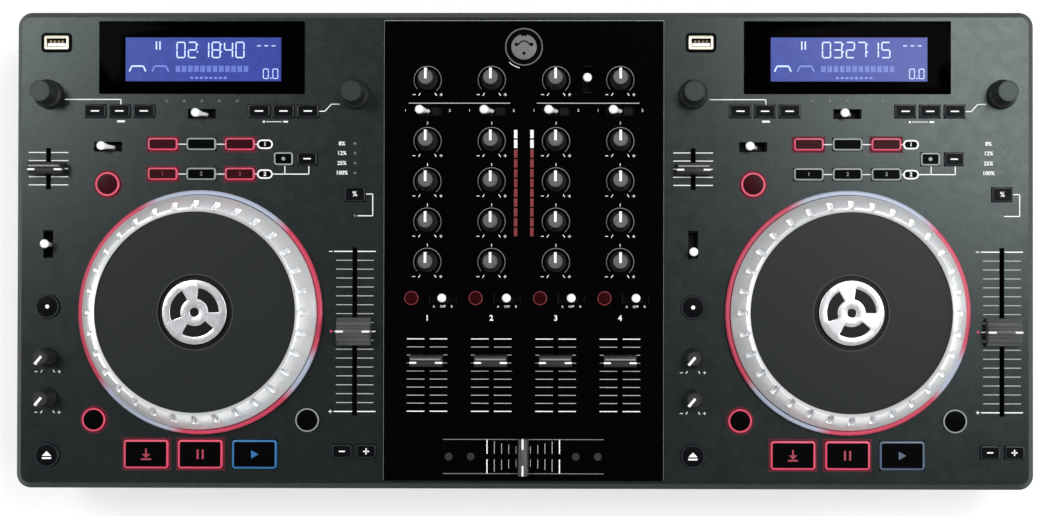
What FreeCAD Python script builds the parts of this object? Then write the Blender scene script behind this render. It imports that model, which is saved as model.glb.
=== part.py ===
import FreeCAD, Part
import os
import re
import Sketcher

# A disc-jockey console: two slot-loading disc decks with jog wheels on either side of a
# four-channel mixer. X runs right, Y runs to the back and Z runs up from the table.

doc = FreeCAD.newDocument("disc_console")

SIZES = [
    # case
    ("case_width", 640, "over the whole case, left to right"),
    ("case_depth", 300, "over the whole case, front to back"),
    ("panel_top", 80, "top face of the control panel above the table"),
    ("split_level", 50, "joint between tray and cover above the table"),
    ("foot_height", 8, "underside of the tray above the table"),
    ("sheet", 2.5, "wall of the tray and the cover"),
    ("corner_radius", 9, "upright corners of the case"),
    ("rim_chamfer", 3.5, "sloping edge round the panel"),
    ("tray_inset", 4, "tray wall behind the cover edge, front and sides"),
    ("tray_rear_inset", 12, "tray wall in front of the cover edge, rear"),
    ("foot_radius", 11, "rubber foot"),
    ("foot_draft", 1.5, "foot is smaller by this at the table"),
    ("foot_inset", 32, "foot centre from the case edges"),
    ("foot_plug_radius", 4, "plug of the foot through the tray floor"),
    ("foot_plug_rise", 1.5, "plug above the tray floor"),
    ("case_boss_radius", 5, "screw pillar between tray and cover"),
    ("case_boss_side", 11, "outer pillars from the side edges"),
    ("case_boss_inner", 92, "inner pillars from the middle"),
    ("case_boss_front", 10, "pillars from the front edge"),
    ("case_boss_rear", 19, "pillars from the rear edge"),
    ("case_screw_radius", 1.5, "shank of a case screw"),
    ("case_screw_head", 3.1, "head of a case screw"),
    ("case_screw_head_height", 2.4, "head of a case screw"),
    ("case_screw_reach", 10, "case screw into the cover pillar"),
    ("case_screw_seat", 6, "seat of a case screw below the split"),
    ("screw_clearance", 0.3, "round a shank or a head"),
    ("grip_clearance", 0.05, "round a shank in its own thread"),
    # boards and what holds them
    ("board_thickness", 1.6, "circuit board"),
    ("board_drop", 9.5, "top of a deck board below the panel underside"),
    ("deck_board_width", 208, "board under a deck"),
    ("deck_board_depth", 284, "board under a deck"),
    ("mixer_board_width", 160, "board under the mixer"),
    ("mixer_board_depth", 268, "board under the mixer"),
    ("stud_radius", 3.2, "stud that carries a board"),
    ("stud_bore_depth", 6, "threaded depth in a stud"),
    ("board_screw_radius", 1.2, "shank of a board screw"),
    ("board_screw_head", 2.5, "head of a board screw"),
    ("board_screw_head_height", 1.6, "head of a board screw"),
    ("deck_stud_wide", 76, "rear studs from the deck centre"),
    ("deck_stud_rear", 112, "rear studs behind the middle"),
    ("deck_stud_narrow", 50, "front studs from the deck centre"),
    ("deck_stud_front", 95, "front studs before the middle"),
    ("mixer_stud_side", 76, "mixer studs from the middle"),
    ("mixer_stud_reach", 118, "mixer studs from the middle"),
    ("main_board_width", 220, "board in the tray"),
    ("main_board_depth", 150, "board in the tray"),
    ("main_board_y", -20, "middle of the board in the tray"),
    ("main_board_rise", 6, "board above the tray floor"),
    ("main_stud_inset", 8, "studs from the edges of the board in the tray"),
    ("supply_width", 150, "power supply"),
    ("supply_depth", 70, "power supply"),
    ("supply_height", 30, "power supply"),
    ("supply_x", 203, "power supply from the middle"),
    ("supply_gap", 0.5, "power supply in front of the mains inlet"),
    # disc drives
    ("drive_width", 146, "disc drive"),
    ("drive_depth", 130, "disc drive"),
    ("drive_height", 26, "disc drive"),
    ("drive_rise", 10, "disc drive above the tray floor"),
    ("drive_post_radius", 4.5, "post under a disc drive"),
    ("drive_post_inset", 12, "post from the drive edges"),
    ("slot_width", 126, "disc slot"),
    ("slot_height", 6, "disc slot"),
    ("slot_level", 13, "middle of the slot above the drive floor"),
    ("slot_reach", 122, "disc pocket in the drive"),
    # rear and front sockets
    ("socket_level", 30, "middle of the rear sockets above the table"),
    ("phono_radius", 4.2, "barrel of a phono socket"),
    ("phono_bore", 1.7, "bore of a phono socket"),
    ("phono_length", 9, "barrel outside the wall"),
    ("phono_body", 11, "square body inside the wall"),
    ("phono_body_length", 9, "square body inside the wall"),
    ("phono_pitch_x", 22, "between pairs of phono sockets"),
    ("phono_pitch_z", 14, "between the two sockets of a pair"),
    ("phono_pairs", 6, "pairs of phono sockets"),
    ("phono_first_x", -78, "first pair from the middle"),
    ("inlet_width", 27, "mains inlet"),
    ("inlet_height", 20, "mains inlet"),
    ("inlet_wall", 2.5, "mains inlet"),
    ("inlet_depth", 18, "mains inlet inside the wall"),
    ("inlet_flange", 4, "mains inlet flange round its opening"),
    ("link_width", 12, "data socket"),
    ("link_height", 11, "data socket"),
    ("link_x", 62, "data socket from the middle"),
    ("jack_bore", 3.2, "radius of the quarter-inch jack bore"),
    ("jack_depth", 20, "depth of the jack bore"),
    ("jack_bush_radius", 4.6, "jack bush through the front wall"),
    ("jack_flange_radius", 6.4, "jack flange outside the front wall"),
    ("jack_flange_height", 1.4, "jack flange outside the front wall"),
    ("jack_body_radius", 6, "jack body inside the wall"),
    ("jack_body_length", 22, "jack body inside the wall"),
    ("jack_x", -66, "headphone jack from the middle"),
    # panel fits
    ("hole_clearance", 0.3, "round a key, a shaft or a stem in its hole"),
    ("seat_gap", 0.05, "face to face under the panel"),
    ("running_clearance", 0.05, "round a shaft in its bearing"),
    ("slide_clearance", 0.25, "round a carriage in its track"),
    ("end_gap", 0.3, "below a shaft end or a carriage"),
    # keys
    ("key_corner", 1.2, "rounded upright edges of a key"),
    ("key_edge", 0.4, "sloping top edge of a round key"),
    ("key_rise", 1.8, "key above its panel"),
    ("key_travel", 1.2, "press of a key"),
    ("key_flange", 0.8, "lip of a key under the panel"),
    ("key_flange_thickness", 1.2, "lip of a key under the panel"),
    ("key_stem_radius", 1.8, "stem of a key"),
    ("switch_width", 6, "push switch under a key"),
    ("switch_height", 3.4, "push switch under a key"),
    ("plunger_radius", 1.7, "button of a push switch"),
    ("plunger_rise", 0.8, "button of a push switch"),
    ("press_gap", 0.1, "left between stem and switch when pressed"),
    ("menu_key_width", 13.2, ""),
    ("menu_key_depth", 8.2, ""),
    ("loop_key_width", 18.5, ""),
    ("loop_key_depth", 7.8, ""),
    ("small_key_width", 12, ""),
    ("small_key_depth", 8.2, ""),
    ("range_key_width", 12.9, ""),
    ("range_key_depth", 9, ""),
    ("transport_key_width", 28, ""),
    ("transport_key_depth", 18, ""),
    ("round_key_radius", 7.5, ""),
    ("listen_key_radius", 4.4, ""),
    # knobs
    ("shaft_radius", 3, "control shaft"),
    ("knob_gap", 1, "underside of a knob above its panel"),
    ("knob_skirt_height", 2.5, "straight foot of a knob"),
    ("knob_edge", 0.8, "sloping top edge of a knob"),
    ("pointer_width", 1.6, "pointer groove across a knob's top"),
    ("pointer_depth", 0.6, "pointer groove across a knob's top"),
    ("flute_radius", 1.1, "grip flute of a knob"),
    ("flute_count", 10, "grip flutes of a knob"),
    ("mixer_knob_skirt", 7.4, ""),
    ("mixer_knob_top", 5.2, ""),
    ("mixer_knob_height", 15, ""),
    ("encoder_knob_skirt", 10.3, ""),
    ("encoder_knob_top", 7.4, ""),
    ("encoder_knob_height", 19, ""),
    ("time_knob_skirt", 7, ""),
    ("time_knob_top", 5, ""),
    ("time_knob_height", 15, ""),
    ("time_knob_rest", 140, "turned back from straight up at rest"),
    ("pot_radius", 6.5, "body of a rotary control"),
    ("pot_height", 6.5, "body of a rotary control"),
    ("pot_floor", 2, "floor under the shaft"),
    ("bush_radius", 4.5, "bush of a rotary control"),
    # faders
    ("track_width", 11, "outside of a fader track"),
    ("track_wall", 1.5, "wall of a fader track"),
    ("carriage_length", 9, "carriage along the track"),
    ("carriage_height", 5, "carriage"),
    ("stem_width", 1.4, "stem across the slot"),
    ("stem_length", 4.5, "stem along the slot"),
    ("slot_gap", 3, "width of a fader slot"),
    ("cap_gap", 1, "fader cap above its panel"),
    ("cap_base", 1.6, "straight foot of a fader cap"),
    ("cap_groove", 0.8, "groove across the top of a fader cap"),
    ("cap_slope", 0.72, "top of a fader cap as a share of its foot"),
    ("channel_cap_width", 20.5, ""),
    ("channel_cap_length", 7.7, ""),
    ("channel_cap_height", 10, ""),
    ("effect_cap_width", 21, ""),
    ("effect_cap_length", 7.6, ""),
    ("effect_cap_height", 10, ""),
    ("pitch_cap_width", 21, ""),
    ("pitch_cap_length", 17.8, ""),
    ("pitch_cap_height", 11, ""),
    ("cross_cap_width", 23, ""),
    ("cross_cap_length", 6, ""),
    ("cross_cap_height", 10, ""),
    ("channel_travel", 45, ""),
    ("effect_travel", 20.4, ""),
    ("pitch_travel", 100, ""),
    ("cross_travel", 45, ""),
    # levers
    ("lever_slot_length", 17.7, "slot of a selector lever"),
    ("lever_slot_width", 6.2, "slot of a selector lever"),
    ("lever_throw", 4.6, "each way from the middle"),
    ("input_lean", 22, "degrees that an input lever tilts each way"),
    ("toggle_hub", 1.8, "radius of an input lever's hub"),
    ("toggle_hub_length", 5, "input lever's hub from end to end"),
    ("lever_stem", 1.5, "radius at the foot of a lever"),
    ("lever_head", 2.9, "radius of a lever's head"),
    ("lever_height", 10, "lever above its panel"),
    ("lever_base_length", 6, "slider under a lever"),
    ("lever_base_height", 4, "slider under a lever"),
    # mixer layout
    ("plate_width", 176, "mixer plate"),
    ("plate_depth", 289, "mixer plate"),
    ("plate_thickness", 2, "mixer plate"),
    ("plate_lip", 4, "mixer plate over the edge of the opening"),
    ("plate_corner", 2, ""),
    ("channel_pitch", 40.35, "between the columns of controls"),
    ("master_row", 106.9, ""),
    ("input_row", 87.7, ""),
    ("gain_row", 68.5, ""),
    ("treble_row", 43.2, ""),
    ("tone_pitch", 25.3, "treble, middle and bass rows"),
    ("listen_row", -30.1, ""),
    ("listen_offset", 9.8, "key and lever each side of the column"),
    ("channel_fader_row", -78.4, "middle of the channel faders"),
    ("channel_fader_rest", 9, "channel faders above the middle of their travel"),
    ("cross_inset", 15.2, "crossfader from the mixer plate's front edge"),
    ("cross_plate_width", 102.5, ""),
    ("cross_plate_depth", 22.1, ""),
    ("cross_plate_thickness", 1, ""),
    ("cross_screw_outer", 46.7, ""),
    ("cross_screw_inner", 32.9, ""),
    ("cross_screw_radius", 1.4, ""),
    ("cross_screw_head", 2.4, ""),
    ("cross_screw_head_height", 0.9, ""),
    ("mic_inset", 16.9, "microphone socket from the mixer plate's rear edge"),
    ("mic_flange_radius", 11.6, "rim of the microphone socket"),
    ("mic_flange_height", 0.8, "rim of the microphone socket"),
    ("mic_barrel_radius", 10.6, "barrel through the plate"),
    ("mic_insert_radius", 8, "insert with the jack bore"),
    ("mic_ring_gap", 1.2, "gap round the insert"),
    ("mic_reach", 28, "socket below the plate top"),
    ("mic_gap_depth", 12, "depth of the gap round the insert"),
    ("stereo_lever_x", 39.9, ""),
    ("stereo_lever_y", 107.5, ""),
    ("meter_offset", 5.1, "meter bar from the middle"),
    ("meter_width", 3.4, ""),
    ("meter_length", 70, ""),
    ("meter_row", 42, "middle of the meter bars"),
    # deck layout
    ("deck_inset", 117, "deck centre line from the side edge of the case"),
    ("side_column", 96.7, "outer columns from the deck centre line"),
    ("display_row", 121.2, ""),
    ("window_width", 129.7, ""),
    ("window_depth", 45.8, ""),
    ("window_thickness", 1, ""),
    ("window_corner", 3, ""),
    ("window_lip", 3, "window frame over the edge of the opening"),
    ("screen_width", 98.3, ""),
    ("screen_depth", 27.7, ""),
    ("screen_rise", 0.6, "screen above the panel"),
    ("module_width", 116, "display module"),
    ("module_depth", 37, "display module"),
    ("usb_offset", 91.8, "memory-stick socket from the deck centre line"),
    ("usb_row", 130.9, ""),
    ("usb_width", 16.4, ""),
    ("usb_depth", 9.2, ""),
    ("usb_rise", 0.5, ""),
    ("usb_mouth_width", 12.6, ""),
    ("usb_mouth_depth", 5.4, ""),
    ("usb_tongue_width", 11.2, ""),
    ("usb_tongue_depth", 1.9, ""),
    ("usb_reach", 9.2, "depth of the mouth"),
    ("encoder_row", 98, ""),
    ("menu_bank", 51.7, "middle key of a bank from the deck centre line"),
    ("menu_pitch", 15.4, ""),
    ("menu_row", 87.4, ""),
    ("shift_row", 85.8, ""),
    ("effect_column", 59.1, ""),
    ("effect_lever_row", 65, ""),
    ("effect_key_row", 41.3, ""),
    ("effect_fader_row", 51.1, ""),
    ("loop_pitch", 24.3, ""),
    ("loop_row", 66.6, ""),
    ("loop_row_pitch", 18.8, ""),
    ("function_middle", 59.25, ""),
    ("function_pitch", 14.9, ""),
    ("function_row", 57.4, ""),
    ("range_row", 35.2, ""),
    ("reverse_row", 3.5, ""),
    ("tap_row", -35.8, ""),
    ("stop_time_row", -67.5, ""),
    ("start_time_row", -93.1, ""),
    ("scratch_column", 67.2, ""),
    ("scratch_row", -106.8, ""),
    ("eject_inset", 20.8, "eject key from the front edge of the case"),
    ("transport_pitch", 34.1, ""),
    ("transport_row", -128.4, ""),
    ("pitch_fader_row", -51.1, ""),
    ("bend_pitch", 15.2, ""),
    ("bend_row", -126.4, ""),
    # jog wheels
    ("jog_row", -39.2, "middle of the jog wheel"),
    ("jog_radius", 73.4, "outside of the jog ring"),
    ("jog_inner_radius", 63.5, "inside of the jog ring"),
    ("jog_height", 20.5, "jog ring"),
    ("jog_slope", 15.5, "fall of the ring's sloping side to its outer edge"),
    ("jog_rim", 2.2, "flat rim at the top of the ring"),
    ("jog_web", 3, "floor of the jog ring"),
    ("jog_hub_radius", 14, "boss round the spindle"),
    ("notch_count", 32, "finger notches of the jog ring"),
    ("notch_width", 3.7, ""),
    ("notch_drop", 9, "floor of a notch below the rim"),
    ("notch_inset", 1.5, "notch outside the flat rim"),
    ("disc_gap", 0.5, "round the jog disc"),
    ("disc_thickness", 3, "jog disc"),
    ("disc_drop", 3.5, "top of the jog disc below the rim"),
    ("hub_recess_radius", 22.7, ""),
    ("hub_recess_depth", 1.2, ""),
    ("hub_cap_radius", 19.8, ""),
    ("hub_cap_rise", 1, "cap above the jog disc"),
    ("spindle_radius", 6, ""),
    ("spindle_flange_radius", 22, ""),
    ("spindle_flange_height", 1.2, ""),
    ("spindle_foot_radius", 8, ""),
    ("bearing_gap", 0.3, "between turning faces"),
    ("glow_outer_radius", 76.6, "light ring round the jog wheel"),
    ("glow_width", 2.6, ""),
    ("glow_height", 4, ""),
]

sheet = doc.addObject("Spreadsheet::Sheet", "Sizes")
for row, (alias, value, meaning) in enumerate(SIZES, start=1):
    sheet.set(f"A{row}", alias)
    sheet.set(f"B{row}", str(value))
    sheet.setAlias(f"B{row}", alias)
    sheet.set(f"C{row}", meaning)
doc.recompute()
ALIASES = {alias for alias, value, meaning in SIZES}

# levels and places that several pieces share
FLOOR_TOP = "(foot_height + sheet)"
PANEL_UNDER = "(panel_top - sheet)"
BOARD_TOP = "(panel_top - sheet - board_drop)"
BOARD_UNDER = f"({BOARD_TOP} - board_thickness)"
PLATE_TOP = "(panel_top + plate_thickness)"
RING_BASE = "(panel_top + spindle_flange_height + bearing_gap)"
DISC_BASE = f"({RING_BASE} + jog_web + bearing_gap)"
DISC_TOP = f"({RING_BASE} + jog_height - disc_drop)"
# lower end of a key's stem, clear of its switch when the key is pressed
STEM_FOOT = f"({BOARD_TOP} + switch_height + plunger_rise + key_travel + press_gap)"
CROSS_ROW = "(cross_inset - plate_depth / 2)"
MIC_ROW = "(plate_depth / 2 - mic_inset)"
FRONT_WALL = "(-case_depth / 2 + tray_inset)"
REAR_WALL = "(case_depth / 2 - tray_rear_inset)"
DECK_OFFSET = "(case_width / 2 - deck_inset)"
EJECT_ROW = "(eject_inset - case_depth / 2)"
SUPPLY_ROW = f"({REAR_WALL} - sheet - inlet_depth - supply_gap - supply_depth / 2)"
CASE_BOSSES = [
    (f"{sign} * {column}", row)
    for sign in ("-1", "1")
    for column in ("(case_width / 2 - case_boss_side)", "case_boss_inner")
    for row in ("(case_boss_front - case_depth / 2)", "(case_depth / 2 - case_boss_rear)")
]
QUARTER_TURN = FreeCAD.Rotation(FreeCAD.Vector(0, 0, 1), 90)
DECKS = (("left", f"(-1 * {DECK_OFFSET})"), ("right", DECK_OFFSET))
CHANNELS = [(str(number), f"({number - 2.5} * channel_pitch)") for number in range(1, 5)]


# ---------------------------------------------------------------- drawing helpers
def formula(text):
    """Point every size name in a formula at its cell in the sheet."""
    return re.sub(r"[a-z_]+", lambda word: f"Sizes.{word.group()}" if word.group() in ALIASES else word.group(), text)


def bind(made, **sizes):
    """Bind properties of an object to formulas."""
    for name, text in sizes.items():
        made.setExpression(name, formula(text))


def put(made, x="0", y="0", z="0"):
    """Place an object; each part of its place is a formula."""
    for axis, text in (("x", x), ("y", y), ("z", z)):
        if text != "0":
            made.setExpression(f"Placement.Base.{axis}", formula(text))
    return made


def block(name, width, depth, height, z="0", x="0", y="0"):
    """A box centred on x and y that stands on z."""
    made = doc.addObject("Part::Box", name)
    bind(made, Length=width, Width=depth, Height=height)
    return put(made, f"{x} - ({width}) / 2", f"{y} - ({depth}) / 2", z)


def rod(name, radius, height, z="0", x="0", y="0"):
    """An upright cylinder that stands on z."""
    made = doc.addObject("Part::Cylinder", name)
    bind(made, Radius=radius, Height=height)
    return put(made, x, y, z)


def level_rod(name, radius, length, x, y, z):
    """A cylinder that starts at x, y, z and runs to the back."""
    made = doc.addObject("Part::Cylinder", name)
    bind(made, Radius=radius, Height=length)
    made.Placement.Rotation = FreeCAD.Rotation(FreeCAD.Vector(1, 0, 0), -90)
    return put(made, x, y, z)


def cut(name, base, tools):
    """The base less every tool."""
    made = doc.addObject("Part::Cut", name)
    made.Base = base
    made.Tool = tools[0] if len(tools) == 1 else group(name + "_tools", tools)
    return made


def joined(name, pieces):
    """One solid from pieces that touch or overlap."""
    made = doc.addObject("Part::MultiFuse", name)
    made.Shapes = pieces
    return made


def group(name, pieces):
    """Separate solids kept together as one object."""
    made = doc.addObject("Part::Compound", name)
    made.Links = pieces
    return made


def origin_feature(body, role):
    """One of the planes or axes that a body brings along."""
    return next(feature for feature in body.Origin.OriginFeatures if feature.Role == role)


def sketch_on(body, plane):
    """An empty sketch on one of the body's own planes."""
    sketch = body.newObject("Sketcher::SketchObject", body.Name + "_sketch")
    sketch.AttachmentSupport = [(origin_feature(body, plane), "")]
    sketch.MapMode = "FlatFace"
    return sketch


def draw_outline(sketch, corners):
    """A closed outline of straight sides; each corner is a pair of formulas."""
    count = len(corners)
    starts = [FreeCAD.Vector(index + 1, (index + 1) ** 2, 0) for index in range(count)]
    for index, start in enumerate(starts):
        sketch.addGeometry(Part.LineSegment(start, starts[(index + 1) % count]), False)
    sketch.addConstraint([
        Sketcher.Constraint("Coincident", index, 2, (index + 1) % count, 1) for index in range(count)
    ])
    for index, (across, up) in enumerate(corners):
        for direction, text, value, axis in (
            ("DistanceX", across, starts[index].x, -2),
            ("DistanceY", up, starts[index].y, -1),
        ):
            if text == "0":
                sketch.addConstraint(Sketcher.Constraint("PointOnObject", index, 1, axis))
            else:
                held = sketch.addConstraint(Sketcher.Constraint(direction, -1, 1, index, 1, value))
                sketch.setExpression(f"Constraints[{held}]", formula(text))


def turned(name, outline):
    """A turned piece: an outline of (radius, height) corners spun round the Z axis."""
    body = doc.addObject("PartDesign::Body", name)
    sketch = sketch_on(body, "XZ_Plane")
    draw_outline(sketch, outline)
    spin = body.newObject("PartDesign::Revolution", name + "_spin")
    spin.Profile = sketch
    spin.ReferenceAxis = (sketch, ["V_Axis"])
    spin.Angle = 360
    body.Tip = spin
    return body


def rounded_block(name, width, depth, height, corner, z="0", x="0", y="0", chamfer=None):
    """A padded rectangle with rounded upright edges and, if asked for, a chamfered top."""
    body = doc.addObject("PartDesign::Body", name)
    sketch = sketch_on(body, "XY_Plane")
    corners = [FreeCAD.Vector(across, up, 0) for across, up in ((-1, -1), (1, -1), (1, 1), (-1, 1))]
    for index in range(4):
        sketch.addGeometry(Part.LineSegment(corners[index], corners[(index + 1) % 4]), False)
    sketch.addConstraint([
        Sketcher.Constraint("Coincident", 0, 2, 1, 1),
        Sketcher.Constraint("Coincident", 1, 2, 2, 1),
        Sketcher.Constraint("Coincident", 2, 2, 3, 1),
        Sketcher.Constraint("Coincident", 3, 2, 0, 1),
        Sketcher.Constraint("Horizontal", 0),
        Sketcher.Constraint("Vertical", 1),
        Sketcher.Constraint("Horizontal", 2),
        Sketcher.Constraint("Vertical", 3),
        Sketcher.Constraint("Symmetric", 0, 1, 1, 2, -1, 1),
    ])
    wide = sketch.addConstraint(Sketcher.Constraint("DistanceX", 0, 1, 0, 2, 2.0))
    deep = sketch.addConstraint(Sketcher.Constraint("DistanceY", 1, 1, 1, 2, 2.0))
    sketch.setExpression(f"Constraints[{wide}]", formula(width))
    sketch.setExpression(f"Constraints[{deep}]", formula(depth))
    pad = body.newObject("PartDesign::Pad", name + "_pad")
    pad.Profile = sketch
    bind(pad, Length=height)
    body.Tip = pad
    pad.recompute(True)
    rounded = body.newObject("PartDesign::Fillet", name + "_corners")
    rounded.Base = (pad, [
        f"Edge{number}" for number, edge in enumerate(pad.Shape.Edges, start=1)
        if abs(edge.tangentAt(edge.FirstParameter).z) > 0.99
    ])
    bind(rounded, Radius=corner)
    body.Tip = rounded
    if chamfer:
        rounded.recompute(True)
        top = max(rounded.Shape.Faces, key=lambda face: face.CenterOfMass.z)
        number = next(index for index, face in enumerate(rounded.Shape.Faces, start=1) if face.isSame(top))
        sloped = body.newObject("PartDesign::Chamfer", name + "_rim")
        sloped.Base = (rounded, [f"Face{number}"])
        bind(sloped, Size=chamfer)
        body.Tip = sloped
    return put(body, x, y, z)


nodes = []


def node(label, made):
    """Name a sub-part; it is written to a file of that name."""
    made.Label = label
    nodes.append(made)
    return made


class Surface:
    """A panel that controls come up through, with all that is cut out of it."""

    def __init__(self, top, thickness):
        self.top = top
        self.under = f"({top} - {thickness})"
        self.thickness = thickness
        self.cuts = []

    def hole(self, name, radius, x, y):
        """A round hole through the panel."""
        self.cuts.append(rod(name, radius, f"{self.thickness} * 3", f"{self.under} - {self.thickness}", x, y))

    def opening(self, name, width, depth, x, y):
        """A rectangular hole through the panel."""
        self.cuts.append(block(name, width, depth, f"{self.thickness} * 3", f"{self.under} - {self.thickness}", x, y))


panel = Surface("panel_top", "sheet")
plate = Surface(PLATE_TOP, "plate_thickness")
bases = []
screws = []


# ---------------------------------------------------------------- controls
def push_switch(name, x, y):
    """A push switch on the board under a key."""
    body = block(name + "_can", "switch_width", "switch_width", "switch_height", BOARD_TOP)
    plunger = rod(name + "_plunger", "plunger_radius", "plunger_rise", f"{BOARD_TOP} + switch_height")
    bases.append(put(joined(name, [body, plunger]), x, y))


def key(name, surface, width, depth, x, y):
    """A rectangular key with its lip, its stem, its hole and its switch."""
    lip_top = f"({surface.under} - seat_gap)"
    lip_under = f"({lip_top} - key_flange_thickness)"
    cap = rounded_block(name + "_cap", width, depth, f"{surface.top} + key_rise - {lip_top}", "key_corner", lip_top)
    lip = block(name + "_lip", f"{width} + 2 * key_flange", f"{depth} + 2 * key_flange",
                "key_flange_thickness", lip_under)
    stem = rod(name + "_stem", "key_stem_radius", f"{lip_under} - {STEM_FOOT}", STEM_FOOT)
    surface.opening(name + "_hole", f"{width} + 2 * hole_clearance", f"{depth} + 2 * hole_clearance", x, y)
    push_switch(name + "_switch", x, y)
    return put(joined(name, [cap, lip, stem]), x, y)


def round_key(name, surface, radius, x, y):
    """A round key with its lip, its stem, its hole and its switch."""
    lip_under = f"({surface.under} - seat_gap - key_flange_thickness - {STEM_FOOT})"
    lip_top = f"({surface.under} - seat_gap - {STEM_FOOT})"
    crown = f"({surface.top} + key_rise - {STEM_FOOT})"
    made = turned(name, [
        ("0", "0"),
        ("key_stem_radius", "0"),
        ("key_stem_radius", lip_under),
        (f"{radius} + key_flange", lip_under),
        (f"{radius} + key_flange", lip_top),
        (radius, lip_top),
        (radius, f"{crown} - key_edge"),
        (f"{radius} - key_edge", crown),
        ("0", crown),
    ])
    surface.hole(name + "_hole", f"{radius} + hole_clearance", x, y)
    push_switch(name + "_switch", x, y)
    return put(made, x, y, STEM_FOOT)


def knob(label, surface, style, x, y, rest="0"):
    """A turning knob with its shaft, and the fixed control and hole under it."""
    skirt = f"{style}_knob_skirt"
    top = f"{style}_knob_top"
    foot = f"({BOARD_TOP} + pot_floor + end_gap)"
    reach = f"({surface.top} + knob_gap - {foot})"
    crown = f"({reach} + {style}_knob_height)"
    made = turned(label, [
        ("0", "0"),
        ("shaft_radius", "0"),
        ("shaft_radius", reach),
        (skirt, reach),
        (skirt, f"{reach} + knob_skirt_height"),
        (top, f"{crown} - knob_edge"),
        (f"{top} - knob_edge", crown),
        ("0", crown),
    ])
    spin = made.Tip
    pointer = made.newObject("PartDesign::SubtractiveBox", label + "_pointer")
    bind(pointer, Length="pointer_width", Width=skirt, Height="pointer_depth * 2")
    put(pointer, "-pointer_width / 2", "0", f"{crown} - pointer_depth")
    flute = made.newObject("PartDesign::SubtractiveCylinder", label + "_flute")
    bind(flute, Radius="flute_radius", Height=f"{style}_knob_height")
    put(flute, skirt, "0", f"{reach} + knob_skirt_height")
    flutes = made.newObject("PartDesign::PolarPattern", label + "_flutes")
    flutes.Originals = [flute]
    flutes.Axis = (origin_feature(made, "Z_Axis"), [""])
    flutes.Angle = 360
    flutes.Refine = False
    bind(flutes, Occurrences="flute_count")
    made.Tip = flutes
    bore = "(shaft_radius + running_clearance)"
    height = f"({surface.under} - seat_gap - {BOARD_TOP})"
    base = turned(label + "_control", [
        ("0", "0"),
        ("pot_radius", "0"),
        ("pot_radius", "pot_height"),
        ("bush_radius", "pot_height"),
        ("bush_radius", height),
        (bore, height),
        (bore, "pot_floor"),
        ("0", "pot_floor"),
    ])
    bases.append(put(base, x, y, BOARD_TOP))
    surface.hole(label + "_hole", "shaft_radius + hole_clearance", x, y)
    if rest != "0":
        bind(made, **{"Placement.Rotation.Angle": rest})
    return node(label, put(made, x, y, foot))


def fader(name, surface, style, x, y, rest="0", across=False):
    """A fader cap with its stem and carriage, and the fixed track and slot under it."""
    travel = f"{style}_travel"
    width = f"{style}_cap_width"
    length = f"{style}_cap_length"
    inside = "(track_width - 2 * track_wall)"
    run = f"({travel} + carriage_length + 2 * end_gap)"
    rise = f"({surface.under} - seat_gap - {BOARD_TOP})"
    track = cut(name + "_track", block(name + "_rail", "track_width", f"{run} + 2 * track_wall", rise, BOARD_TOP), [
        block(name + "_channel", inside, run, rise, f"{BOARD_TOP} + track_wall"),
    ])
    slot = block(name + "_slot", "slot_gap", f"{travel} + stem_length + 4 * end_gap",
                 f"{surface.thickness} * 3", f"{surface.under} - {surface.thickness}")
    base = f"({surface.top} + cap_gap)"
    half = f"({length} / 2)"
    cap = doc.addObject("PartDesign::Body", name + "_cap")
    profile = sketch_on(cap, "YZ_Plane")
    draw_outline(profile, [
        (f"-1 * {half}", "0"),
        (half, "0"),
        (half, "cap_base"),
        (f"{half} * cap_slope", f"{style}_cap_height"),
        ("cap_groove / 2", f"{style}_cap_height"),
        ("cap_groove / 2", f"{style}_cap_height - cap_groove"),
        ("-cap_groove / 2", f"{style}_cap_height - cap_groove"),
        ("-cap_groove / 2", f"{style}_cap_height"),
        (f"-1 * {half} * cap_slope", f"{style}_cap_height"),
        (f"-1 * {half}", "cap_base"),
    ])
    pad = cap.newObject("PartDesign::Pad", name + "_cap_pad")
    pad.Profile = profile
    pad.Midplane = True
    bind(pad, Length=width)
    cap.Tip = pad
    put(cap, z=base)
    foot = f"({BOARD_TOP} + track_wall + end_gap)"
    carriage = block(name + "_carriage", f"{inside} - 2 * slide_clearance", "carriage_length", "carriage_height", foot)
    stem = block(name + "_stem", "stem_width", "stem_length", f"{base} - {foot}", foot)
    made = joined(name, [cap, stem, carriage])
    opening = group(name + "_opening", [slot])
    if across:
        for piece in (track, opening, made):
            piece.Placement.Rotation = QUARTER_TURN
    bases.append(put(track, x, y))
    surface.cuts.append(put(opening, x, y))
    return put(made, x, f"{y} + {rest}")


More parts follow.
